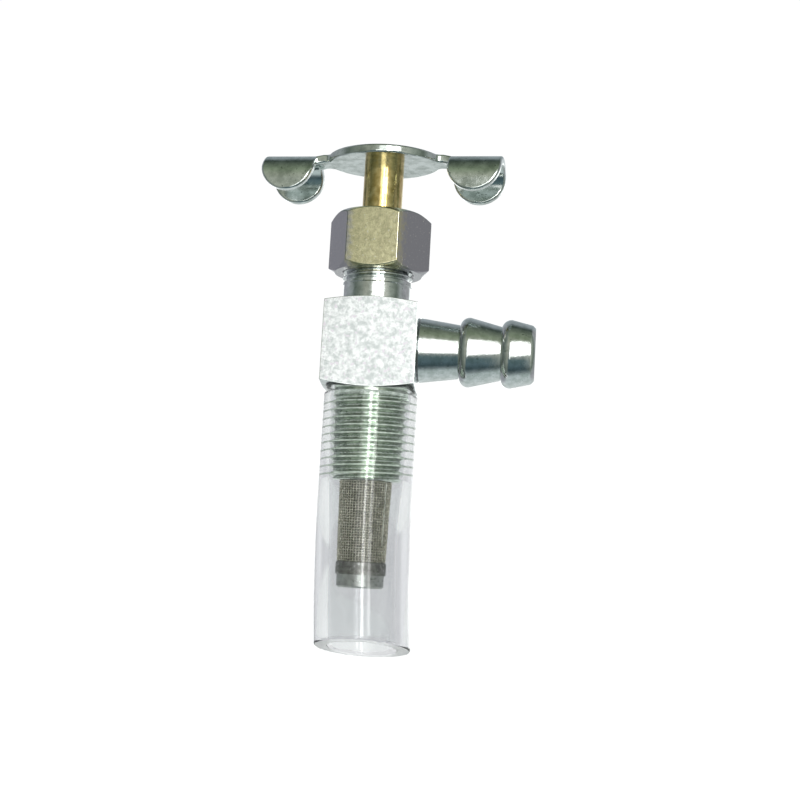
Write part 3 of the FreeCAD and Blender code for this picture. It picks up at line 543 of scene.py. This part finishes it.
def break_chosen_edges(piece, wanted, width_mm):
    """The small rounding of a tumbled edge, only where both its ends, in mm, pass a test."""
    select_only(piece)
    bpy.ops.object.mode_set(mode="EDIT")
    bpy.ops.mesh.select_mode(type="EDGE")
    bpy.ops.mesh.select_all(action="DESELECT")
    mesh = bmesh.from_edit_mesh(piece.data)
    for edge in mesh.edges:
        sharp = edge.is_manifold and edge.calc_face_angle() > math.radians(20)
        edge.select = sharp and all(wanted(vertex.co / MM) for vertex in edge.verts)
    bmesh.update_edit_mesh(piece.data)
    bpy.ops.mesh.bevel(offset=width_mm * MM, segments=2, affect="EDGES", clamp_overlap=False)
    bpy.ops.mesh.select_mode(type="VERT")
    bpy.ops.object.mode_set(mode="OBJECT")


def dress(piece, body, finish, node, smooth_below=32, has_flats=False):
    """Give a finished piece its finish and its body, and hide the CAD node that it stands for."""
    select_only(piece)
    bpy.ops.object.shade_smooth_by_angle(angle=math.radians(smooth_below))
    if has_flats:
        weighing = piece.modifiers.new("plain flats", "WEIGHTED_NORMAL")
        weighing.keep_sharp = True
        weighing.weight = 100
        bpy.ops.object.modifier_apply(modifier=weighing.name)
    piece.data.materials.clear()
    piece.data.materials.append(finishes[finish])
    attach(piece, body)
    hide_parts(node)
    print(piece.name, "has", len(piece.data.polygons), "faces")


# %% [markdown]
# ## The thread
# A thread is a V-shaped groove that winds round the bar. The tool's path is modelled as a solid: the V is
# drawn once, and a Screw modifier winds it up the axis by one pitch a turn. A pipe thread also tapers by 1
# in 16, so the wound groove gets a Taper before it is cut from the blank. The cut then runs out at both
# ends by itself.

# %% A wound groove
FLANK_ANGLE = math.radians(27.5)
ROOT_SHARE = 0.08
GROOVE_PAST = 0.05
GROOVE_STEPS = 72


def wound_groove(name, radius, pitch, depth, bottom, top, taper=0.0):
    """The metal that the threading tool takes away, between two heights."""
    root_half = ROOT_SHARE * pitch
    mouth_half = root_half + (depth + GROOVE_PAST) * math.tan(FLANK_ANGLE)
    outside, inside = radius + GROOVE_PAST, radius - depth
    section = [(outside, 0, bottom - mouth_half), (outside, 0, bottom + mouth_half),
               (inside, 0, bottom + root_half), (inside, 0, bottom - root_half),
               (outside, 0, bottom - mouth_half)]
    piece = draw_section(name, section)
    bpy.ops.object.mode_set(mode="OBJECT")
    screw = piece.modifiers.new("wind", "SCREW")
    screw.angle = FULL_TURN
    screw.screw_offset = pitch * MM
    screw.iterations = math.ceil((top - bottom) / pitch)
    screw.steps = screw.render_steps = GROOVE_STEPS
    select_only(piece)
    bpy.ops.object.modifier_apply(modifier=screw.name)
    if taper:
        lowest = min(vertex.co.z for vertex in piece.data.vertices)
        highest = max(vertex.co.z for vertex in piece.data.vertices)
        cone = piece.modifiers.new("taper", "SIMPLE_DEFORM")
        cone.deform_method = "TAPER"
        cone.deform_axis = "Z"
        cone.factor = taper / 2 * (highest - lowest) / (radius * MM)
        bpy.ops.object.modifier_apply(modifier=cone.name)
    bpy.ops.object.mode_set(mode="EDIT")
    bpy.ops.mesh.select_mode(type="EDGE")
    bpy.ops.mesh.select_all(action="DESELECT")
    bpy.ops.mesh.select_non_manifold()
    bpy.ops.mesh.fill()
    bpy.ops.mesh.select_mode(type="VERT")
    bpy.ops.mesh.select_all(action="SELECT")
    bpy.ops.mesh.normals_make_consistent(inside=False)
    bpy.ops.object.mode_set(mode="OBJECT")
    return piece


print("groove flanks at", round(math.degrees(FLANK_ANGLE), 1), "degrees")

# %% [markdown]
# ## The tap's body
# The body is one piece, turned from a square bar. The bar's ends are chamfered by the lathe, which leaves a
# flat arc on each side. A cube becomes that by intersecting it with a spun double cone. Neck and shank are
# spun blanks with their threads cut, and they are joined to the square before the water way is bored.

# %% The square, turned at both ends
BAR_HALF = 7.95
BAR_TOP = 15.4
BAR_CHAMFER = 0.85
bar_corner = BAR_HALF * math.sqrt(2)

bpy.ops.object.select_all(action="DESELECT")
bpy.ops.mesh.primitive_cube_add(size=1, location=(0, 0, BAR_TOP / 2 * MM),
                                scale=(2 * BAR_HALF * MM, 2 * BAR_HALF * MM, BAR_TOP * MM))
tap_body = bpy.context.active_object
tap_body.name = "tap_body_turned"
bpy.ops.object.transform_apply(location=True, rotation=True, scale=True)
turn_ends(tap_body, BAR_HALF, bar_corner, 0, BAR_TOP, BAR_CHAMFER, land=0.2)
print("square bar", 2 * BAR_HALF, "mm,", len(tap_body.data.polygons), "faces")

# %% The neck with its fine thread
SUNK = 2
NECK_TOP, NECK_CHAMFER = 24.6, 0.6
NECK_RADIUS, RELIEF_RADIUS = 6.0, 5.85
RELIEF_TOP, RELIEF_END = 18.3, 18.45
FINE_PITCH, FINE_DEPTH = 1.0, 0.6
FINE_BOTTOM, FINE_TOP = 18.55, 25.4

neck = spun("neck", [(0, BAR_TOP - SUNK), (RELIEF_RADIUS, BAR_TOP - SUNK), (RELIEF_RADIUS, RELIEF_TOP),
                     (NECK_RADIUS, RELIEF_END), (NECK_RADIUS, NECK_TOP - NECK_CHAMFER),
                     (NECK_RADIUS - NECK_CHAMFER, NECK_TOP), (0, NECK_TOP)])
fine_groove = wound_groove("neck groove", NECK_RADIUS, FINE_PITCH, FINE_DEPTH, FINE_BOTTOM, FINE_TOP)
combine(neck, fine_groove, "DIFFERENCE")
combine(tap_body, neck, "UNION")
print("neck joined,", len(tap_body.data.polygons), "faces")

# %% The shank with its taper pipe thread
UNDERCUT_RADIUS, UNDERCUT_END = 6.3, -1.2
CREST_TOP, CREST_START = 6.835, -1.6
CREST_LOW, CREST_END = 6.40, -14.6
TIP_RADIUS, THREAD_END = 5.59, -15.4
PIPE_RADIUS = 6.872
PIPE_PITCH, PIPE_DEPTH = 1.337, 0.856
PIPE_TAPER = 1 / 16
PIPE_BOTTOM, PIPE_TOP = -17.2, -2.3

shank = spun("shank", [(0, SUNK), (UNDERCUT_RADIUS, SUNK), (UNDERCUT_RADIUS, UNDERCUT_END),
                       (CREST_TOP, CREST_START), (CREST_LOW, CREST_END), (TIP_RADIUS, THREAD_END),
                       (0, THREAD_END)])
pipe_groove = wound_groove("shank groove", PIPE_RADIUS, PIPE_PITCH, PIPE_DEPTH, PIPE_BOTTOM, PIPE_TOP,
                           PIPE_TAPER)
combine(shank, pipe_groove, "DIFFERENCE")
combine(tap_body, shank, "UNION")
print("shank joined,", len(tap_body.data.polygons), "faces")

# %% The water way and the socket of the hose tail
TAIL_LEVEL = 7.65
SOCKET_RADIUS, SOCKET_FLOOR = 4.32, -12.4
INLET_RADIUS, CHAMBER_RADIUS, SCREW_RADIUS, OUTLET_RADIUS = 2.6, 4.4, 4.05, 2.5
SEAT_LOW, SEAT_HIGH, CHAMBER_TOP = 1.6, 3.4, 11.6
BORE_FROM, BORE_TO = -16, 25
TAIL_SOCKET_DEPTH = 2.4
SIDE_FROM, SIDE_TO = 1, 9
BORE_STEPS = 96
tail_socket_floor = BAR_HALF - TAIL_SOCKET_DEPTH

water_way = spun("water way", [(0, BORE_FROM), (SOCKET_RADIUS, BORE_FROM), (SOCKET_RADIUS, SOCKET_FLOOR),
                               (INLET_RADIUS, SOCKET_FLOOR), (INLET_RADIUS, SEAT_LOW),
                               (CHAMBER_RADIUS, SEAT_HIGH), (CHAMBER_RADIUS, CHAMBER_TOP),
                               (SCREW_RADIUS, CHAMBER_TOP), (SCREW_RADIUS, BORE_TO), (0, BORE_TO)],
                 steps=BORE_STEPS)
combine(tap_body, water_way, "DIFFERENCE")
side_way = spun("side way", [(0, SIDE_FROM), (OUTLET_RADIUS, SIDE_FROM), (OUTLET_RADIUS, tail_socket_floor),
                             (SOCKET_RADIUS, tail_socket_floor), (SOCKET_RADIUS, SIDE_TO), (0, SIDE_TO)],
                steps=BORE_STEPS, along_x_at=TAIL_LEVEL)
combine(tap_body, side_way, "DIFFERENCE")
print("bored,", len(tap_body.data.polygons), "faces")

# %% Clean flats and softly broken corners
SOFT_EDGE = 0.13
SOCKET_RIM = 4.4


def clean_up(piece):
    """Merge what a cut left doubled, and dissolve slivers and the seams that it drew across flat faces."""
    select_only(piece)
    bpy.ops.object.mode_set(mode="EDIT")
    bpy.ops.mesh.select_all(action="SELECT")
    bpy.ops.mesh.remove_doubles(threshold=0.002 * MM)
    bpy.ops.mesh.dissolve_degenerate(threshold=0.002 * MM)
    bpy.ops.mesh.dissolve_limited(angle_limit=math.radians(0.2))
    bpy.ops.object.mode_set(mode="OBJECT")


def on_the_square(place):
    """On one of the square's four sides, but not on the rim of the tail's socket."""
    on_side = max(abs(place.x), abs(place.y)) > BAR_HALF - 0.001 and -0.001 < place.z < BAR_TOP + 0.001
    return on_side and math.hypot(place.y, place.z - TAIL_LEVEL) > SOCKET_RIM


clean_up(tap_body)
break_chosen_edges(tap_body, on_the_square, SOFT_EDGE)
dress(tap_body, "tap", "turned_zinc", "tap_body", has_flats=True)

# %% Mottled zinc on the four flat sides, greener zinc on the thread
tap_body.data.materials.append(finishes["body_zinc"])
tap_body.data.materials.append(finishes["thread_zinc"])
THREAD_FROM = -0.3

for face in tap_body.data.polygons:
    flat_side = max(abs(face.normal.x), abs(face.normal.y)) > 0.98
    outside = max(abs(face.center.x), abs(face.center.y)) > (BAR_HALF - 0.05) * MM
    if face.center.z < THREAD_FROM * MM:
        face.material_index = 2
    else:
        face.material_index = 1 if flat_side and outside else 0
for index, slot in enumerate(tap_body.material_slots):
    print(slot.name, sum(face.material_index == index for face in tap_body.data.polygons), "faces")

# %% [markdown]
# ## The hose tail
# The tail is a separate turned piece, pressed into the body's side: a dark seam shows where the two meet.
# Each barb rises in a round shoulder that faces the body and then falls in a long slope, so that a hose
# slides on and doesn't slide off. Its section has the shoulders as short arcs, and it is spun round the
# tail's own axis.

# %% The tail's section and its spin
def shoulder(start, waist, crest, rise, count=8):
    """Points of a round shoulder that runs level where it reaches the crest."""
    step_up = crest - waist
    radius = (step_up ** 2 + rise ** 2) / (2 * step_up)
    whole = math.asin(rise / radius)
    points = []
    for index in range(count + 1):
        angle = whole * (1 - index / count)
        points.append((crest - radius * (1 - math.cos(angle)), start + rise - radius * math.sin(angle)))
    return points


TAIL_FACE = BAR_HALF
TAIL_TIP = TAIL_FACE + 19.7
TAIL_BORE, PLUG_RADIUS = 2.9, 4.3
SEAM = 0.04
WAIST, BARB_RISE = 4.65, 1.75
BARBS = [(6.8, 6.0), (13.9, 5.875)]

tail_section = [(TAIL_BORE, tail_socket_floor), (PLUG_RADIUS, tail_socket_floor),
                (PLUG_RADIUS, TAIL_FACE + SEAM), (5.45, TAIL_FACE + SEAM), (5.575, TAIL_FACE + 0.2)]
for barb_start, barb_radius in BARBS:
    tail_section += shoulder(TAIL_FACE + barb_start, WAIST, barb_radius, BARB_RISE)
tail_section += [(5.12, TAIL_TIP - 0.8), (5.05, TAIL_TIP - 0.5), (4.62, TAIL_TIP - 0.07), (4.55, TAIL_TIP),
                 (TAIL_BORE + 0.15, TAIL_TIP), (TAIL_BORE, TAIL_TIP - 0.15), (TAIL_BORE, tail_socket_floor)]
hose_tail = spun("hose_tail_turned", tail_section, steps=144, along_x_at=TAIL_LEVEL)
dress(hose_tail, "tap", "turned_zinc", "hose_tail")

# %% [markdown]
# ## The gland nut
# A slice of hexagon bar, turned at both ends: each chamfer leaves an arc on every flat. As with the body, a
# prism is intersected with a spun double cone. Then the bore is cut out, and the edges outside are broken
# last.

# %% The hexagon, its chamfers and its bore
NUT_BOTTOM = 20.6
NUT_TOP = 30.85
NUT_HALF = 7.7
NUT_TURN = -4
NUT_CHAMFER = 0.9
MOUTH_RADIUS, MOUTH_END = 6.3, 20.9
NUT_THREAD = 6.02
PACKING_ROOM, PACKING_TOP = 5.32, 28.85
STEM_HOLE, HOLE_CHAMFER = 3.7, 0.25
NUT_BORE_FROM, NUT_BORE_TO = 20, 31.5
nut_corner = NUT_HALF * 2 / math.sqrt(3)

bpy.ops.object.select_all(action="DESELECT")
bpy.ops.mesh.primitive_cylinder_add(vertices=6, radius=nut_corner * MM, depth=(NUT_TOP - NUT_BOTTOM) * MM,
                                    location=(0, 0, (NUT_TOP + NUT_BOTTOM) / 2 * MM),
                                    rotation=(0, 0, math.radians(30 + NUT_TURN)))
gland_nut = bpy.context.active_object
gland_nut.name = "gland_nut_hexagon"
bpy.ops.object.transform_apply(location=True, rotation=True, scale=True)
turn_ends(gland_nut, NUT_HALF, nut_corner, NUT_BOTTOM, NUT_TOP, NUT_CHAMFER, land=0.15)
hole_mouth = STEM_HOLE + HOLE_CHAMFER
nut_bore = spun("nut bore", [(0, NUT_BORE_FROM), (MOUTH_RADIUS, NUT_BORE_FROM), (MOUTH_RADIUS, NUT_BOTTOM),
                             (NUT_THREAD, MOUTH_END), (NUT_THREAD, NECK_TOP), (PACKING_ROOM, NECK_TOP),
                             (PACKING_ROOM, PACKING_TOP), (STEM_HOLE, PACKING_TOP),
                             (STEM_HOLE, NUT_TOP - HOLE_CHAMFER), (hole_mouth, NUT_TOP),
                             (hole_mouth, NUT_BORE_TO), (0, NUT_BORE_TO)], steps=BORE_STEPS)
combine(gland_nut, nut_bore, "DIFFERENCE")
break_chosen_edges(gland_nut, lambda place: math.hypot(place.x, place.y) > NUT_HALF - 0.02, SOFT_EDGE)
dress(gland_nut, "tap", "nut_plating_and_painted_reflection", "gland_nut", has_flats=True)

# %% [markdown]
# ## The woven gauze
# The strainer is a sheet of wire gauze rolled into a slightly tapered tube. The imported tube stands for its
# inner turn. It is painted nearly black, as the painted shade that shows between and behind the wires. The
# outer turn is woven here wire by wire: an upright wire goes over one ring and under the next, and its
# neighbour does the opposite. One wire of each kind is drawn as a line, given its thickness, and then
# repeated round the tube by Spin with duplicates. The rings are made from one ring, copied down the tube.

# %% Where the gauze lies and how a line becomes a wire
GAUZE_TOP, GAUZE_LOW = -15.55, -28.75
GAUZE_RADIUS_TOP, GAUZE_RADIUS_LOW = 4.32, 4.0
WIRE_RADIUS = 0.09
WEAVE_DEPTH = 0.07
UPRIGHT_PAIRS = 28
RINGS = 31
ring_step = (GAUZE_TOP - GAUZE_LOW) / (RINGS - 1)


def gauze_radius(level):
    """The middle of the outer turn at a height, as the tube is slightly tapered."""
    share = (GAUZE_TOP - level) / (GAUZE_TOP - GAUZE_LOW)
    return GAUZE_RADIUS_TOP + (GAUZE_RADIUS_LOW - GAUZE_RADIUS_TOP) * share


def wire_along(name, points, radius):
    """Draw a line through the points and give it a wire's thickness."""
    wire = draw_section(name, points)
    bpy.ops.object.mode_set(mode="OBJECT")
    select_only(wire)
    bpy.ops.object.convert(target="CURVE")
    wire.data.bevel_depth = radius * MM
    wire.data.bevel_resolution = 0
    bpy.ops.object.convert(target="MESH")
    wire = bpy.context.active_object
    wire.name = name
    return wire


print("wires", round(ring_step, 2), "mm apart")

# %% Upright wires, two kinds in turn
uprights = []
for kind in (0, 1):
    angle = kind * FULL_TURN / (2 * UPRIGHT_PAIRS)
    points = []
    for index in range(2 * RINGS - 1):
        level = GAUZE_TOP - index * ring_step / 2
        swing = math.cos(math.pi * (index / 2 + kind)) * WEAVE_DEPTH
        reach = gauze_radius(level) + swing
        points.append((reach * math.cos(angle), reach * math.sin(angle), level))
    upright = wire_along("upright wire", points, WIRE_RADIUS)
    bpy.ops.object.mode_set(mode="EDIT")
    bpy.ops.mesh.select_all(action="SELECT")
    bpy.ops.mesh.spin(steps=UPRIGHT_PAIRS, dupli=True, angle=FULL_TURN, center=(0, 0, 0), axis=(0, 0, 1))
    bpy.ops.mesh.select_all(action="SELECT")
    bpy.ops.mesh.remove_doubles(threshold=0.0001 * MM)
    bpy.ops.object.mode_set(mode="OBJECT")
    uprights.append(upright)
print("two sets of upright wires,", sum(len(piece.data.polygons) for piece in uprights), "faces")

# %% Rings of wire down the tube
points = []
for index in range(4 * UPRIGHT_PAIRS + 1):
    angle = index * FULL_TURN / (4 * UPRIGHT_PAIRS)
    reach = gauze_radius(GAUZE_TOP) - math.cos(index * math.pi / 2) * WEAVE_DEPTH
    points.append((reach * math.cos(angle), reach * math.sin(angle), GAUZE_TOP))
weave = wire_along("strainer_weave", points, WIRE_RADIUS)
bpy.ops.object.mode_set(mode="EDIT")
bpy.ops.mesh.select_all(action="SELECT")
half_space = FULL_TURN / (2 * UPRIGHT_PAIRS)
for index in range(1, RINGS):
    level = GAUZE_TOP - index * ring_step
    size = gauze_radius(level) / gauze_radius(level + ring_step)
    bpy.ops.mesh.duplicate_move(TRANSFORM_OT_translate={"value": (0, 0, -ring_step * MM)})
    bpy.ops.transform.resize(value=(size, size, 1), center_override=(0, 0, level * MM))
    bpy.ops.transform.rotate(value=half_space, orient_axis="Z", center_override=(0, 0, 0))
bpy.ops.object.mode_set(mode="OBJECT")
print(RINGS, "rings,", len(weave.data.polygons), "faces")

# %% The sheet's cut edge, and the whole weave joined
EDGE_ANGLE = math.radians(-36)
EDGE_POINTS, EDGE_STEP, EDGE_LIFT = 36, 0.3, 0.16
EDGE_WIRE_RADIUS = 0.12
WIRE_JITTER = 0.012

edge_points = []
for index in range(EDGE_POINTS):
    level = GAUZE_TOP - 0.1 - index * EDGE_STEP
    sway = EDGE_ANGLE + 0.022 * math.sin(index * 1.9) + 0.012 * math.sin(index * 0.7)
    reach = gauze_radius(level) + EDGE_LIFT
    edge_points.append((reach * math.cos(sway), reach * math.sin(sway), level))
cut_edge = wire_along("cut edge", edge_points, EDGE_WIRE_RADIUS)
# The cut edge wire wears the paler finish, a painted highlight.
for piece in uprights + [weave, cut_edge]:
    piece.data.materials.clear()
    piece.data.materials.append(finishes["edge_wire_painted_highlight" if piece == cut_edge else "wire_steel"])
bpy.ops.object.select_all(action="DESELECT")
for piece in uprights + [cut_edge, weave]:
    piece.select_set(True)
bpy.context.view_layer.objects.active = weave
bpy.ops.object.join()
bpy.ops.object.mode_set(mode="EDIT")
bpy.ops.mesh.select_all(action="SELECT")
bpy.ops.transform.vertex_random(offset=WIRE_JITTER * MM, uniform=0.0, normal=0.0, seed=5)
bpy.ops.mesh.normals_make_consistent(inside=False)
bpy.ops.object.mode_set(mode="OBJECT")
bpy.ops.object.shade_smooth()
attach(weave, "tap")
print("weave", len(weave.data.polygons), "faces, slots", [slot.name for slot in weave.material_slots])

# %% [markdown]
# ## The guard sleeve
# A length of soft clear tube, cut from a coil, so it still curls a little. The thread has stretched its
# upper end, where the bore follows the taper and the crests press into it. Below the thread the bore
# narrows over ten millimetres, because a sudden step would show as a dark crack. Both walls start as a
# circle and are pulled down ring by ring, each ring moved and tipped by the curl. The lower end is cut on
# the slant, the two walls are bridged at both ends, the rims get a bevel, and the faces that the knife left
# are frosted.

# %% Pull a wall of the tube down along its curl
SLEEVE_OUTER = 8.085
SLEEVE_BORE = 5.7
SLEEVE_TOP = -0.45
CURL_START = -17.05
CURL_RADIUS = 345.0
CURL_ANGLE = 31.5 / CURL_RADIUS
CURL_STEPS = 24
STRAIGHT_RINGS, STRAIGHT_STEP = 11, 1.5
CREST_PRESS = 0.03
MOUTH_ROOM = 0.05


def curl_centre(angle):
    """Where the tube's middle lies after it has curled by this angle."""
    return Vector((CURL_RADIUS * (1 - math.cos(angle)), 0, CURL_START - CURL_RADIUS * math.sin(angle))) * MM


def pulled_wall(name, stations, below=(), faces_inwards=False):
    """A wall through (radius, level) stations that then follows the curl, with its next radii below."""
    radius, level = stations[0]
    bpy.ops.object.select_all(action="DESELECT")
    bpy.ops.mesh.primitive_circle_add(vertices=144, radius=radius * MM, location=(0, 0, level * MM))
    wall = bpy.context.active_object
    wall.name = name
    bpy.ops.object.transform_apply(location=True, rotation=True, scale=True)
    bpy.ops.object.mode_set(mode="EDIT")
    bpy.ops.mesh.select_all(action="SELECT")
    for next_radius, next_level in stations[1:]:
        bpy.ops.mesh.extrude_region_move(TRANSFORM_OT_translate={"value": (0, 0, (next_level - level) * MM)})
        size = next_radius / radius
        bpy.ops.transform.resize(value=(size, size, 1), center_override=(0, 0, next_level * MM))
        radius, level = next_radius, next_level
    turn = CURL_ANGLE / CURL_STEPS
    for step in range(CURL_STEPS):
        here, there = curl_centre(step * turn), curl_centre((step + 1) * turn)
        bpy.ops.mesh.extrude_region_move(TRANSFORM_OT_translate={"value": there - here})
        bpy.ops.transform.rotate(value=turn, orient_axis="Y", center_override=there)
        if step < len(below):
            size = below[step] / radius
            bpy.ops.transform.resize(value=(size, size, size), center_override=there)
            radius = below[step]
    bpy.ops.mesh.select_all(action="SELECT")
    bpy.ops.mesh.normals_make_consistent(inside=faces_inwards)
    bpy.ops.object.mode_set(mode="OBJECT")
    return wall


straight_levels = [CURL_START + STRAIGHT_STEP * ring for ring in reversed(range(STRAIGHT_RINGS))]
outer_stations = [(SLEEVE_OUTER, level) for level in [SLEEVE_TOP] + straight_levels]
bore_stations = [(CREST_TOP + MOUTH_ROOM, SLEEVE_TOP), (CREST_TOP + MOUTH_ROOM, UNDERCUT_END),
                 (CREST_TOP - CREST_PRESS, CREST_START), (CREST_LOW - CREST_PRESS, CREST_END - 0.3),
                 (6.34, THREAD_END), (6.29, THREAD_END - 0.8), (6.22, CURL_START)]
RELAXING_BORE = [6.11, 6.00, 5.91, 5.83, 5.77, 5.73, SLEEVE_BORE]
guard_sleeve = pulled_wall("guard_sleeve_tube", outer_stations)
bore_wall = pulled_wall("bore wall", bore_stations, RELAXING_BORE, faces_inwards=True)
print("two walls of", len(guard_sleeve.data.polygons), "and", len(bore_wall.data.polygons), "faces")

# %% Cut both on the slant and bridge them
CUT_FRONT, CUT_BACK = -41.4, -45.0
MIDDLE_LEVEL = -20
RIM_ROUNDING = 0.35

bpy.ops.object.select_all(action="DESELECT")
bore_wall.select_set(True)
guard_sleeve.select_set(True)
bpy.context.view_layer.objects.active = guard_sleeve
bpy.ops.object.join()
bpy.ops.object.mode_set(mode="EDIT")
bpy.ops.mesh.select_all(action="SELECT")
cut_normal = Vector((0, CUT_FRONT - CUT_BACK, 2 * SLEEVE_OUTER)).normalized()
bpy.ops.mesh.bisect(plane_co=(0, 0, (CUT_FRONT + CUT_BACK) / 2 * MM), plane_no=cut_normal, clear_inner=True)
for at_top in (True, False):
    bpy.ops.mesh.select_mode(type="EDGE")
    bpy.ops.mesh.select_all(action="DESELECT")
    mesh = bmesh.from_edit_mesh(guard_sleeve.data)
    for edge in mesh.edges:
        edge.select = edge.is_boundary and (edge.verts[0].co.z > MIDDLE_LEVEL * MM) == at_top
    bmesh.update_edit_mesh(guard_sleeve.data)
    bpy.ops.mesh.bridge_edge_loops()
bpy.ops.mesh.select_mode(type="VERT")
bpy.ops.object.mode_set(mode="OBJECT")
break_edges(guard_sleeve, RIM_ROUNDING, segments=4, angle=50)
dress(guard_sleeve, "sleeve", "clear_sleeve", "guard_sleeve", smooth_below=60)

# %% The knife's faces at both ends are frosted
guard_sleeve.data.materials.append(finishes["cut_plastic"])
for face in guard_sleeve.data.polygons:
    lower_cut = face.center.z < MIDDLE_LEVEL * MM and face.normal.dot(cut_normal) < -0.9
    upper_cut = face.center.z > MIDDLE_LEVEL * MM and face.normal.z > 0.9
    face.material_index = 1 if lower_cut or upper_cut else 0
print(sum(face.material_index for face in guard_sleeve.data.polygons), "frosted faces")

# %% [markdown]
# ## The pieces that keep their CAD shape
# The spindle, the handle, the valve cone and the rings are right as they come, so they only get their
# finishes.

# %% Finishes for the carried-over nodes
# The strainer's imported gauze tube gets gauze_shadow, a painted shade behind the woven wires.
CARRIED = {
    "spindle": "stem_brass", "handle": "bright_sheet", "valve_cone": "cone_brass",
    "gland_follower": "cone_brass", "packing_ring_lower": "packing_fibre",
    "packing_ring_upper": "packing_fibre", "strainer_ring": "plug_zinc", "strainer_gauze": "gauze_shadow",
    "strainer_ferrule": "dull_ferrule", "strainer_plug": "plug_zinc",
}
for node, finish in CARRIED.items():
    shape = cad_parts[node]
    for material_slot in shape.material_slots:
        material_slot.material = finishes[finish]
    print(node, "->", finish, len(shape.material_slots))
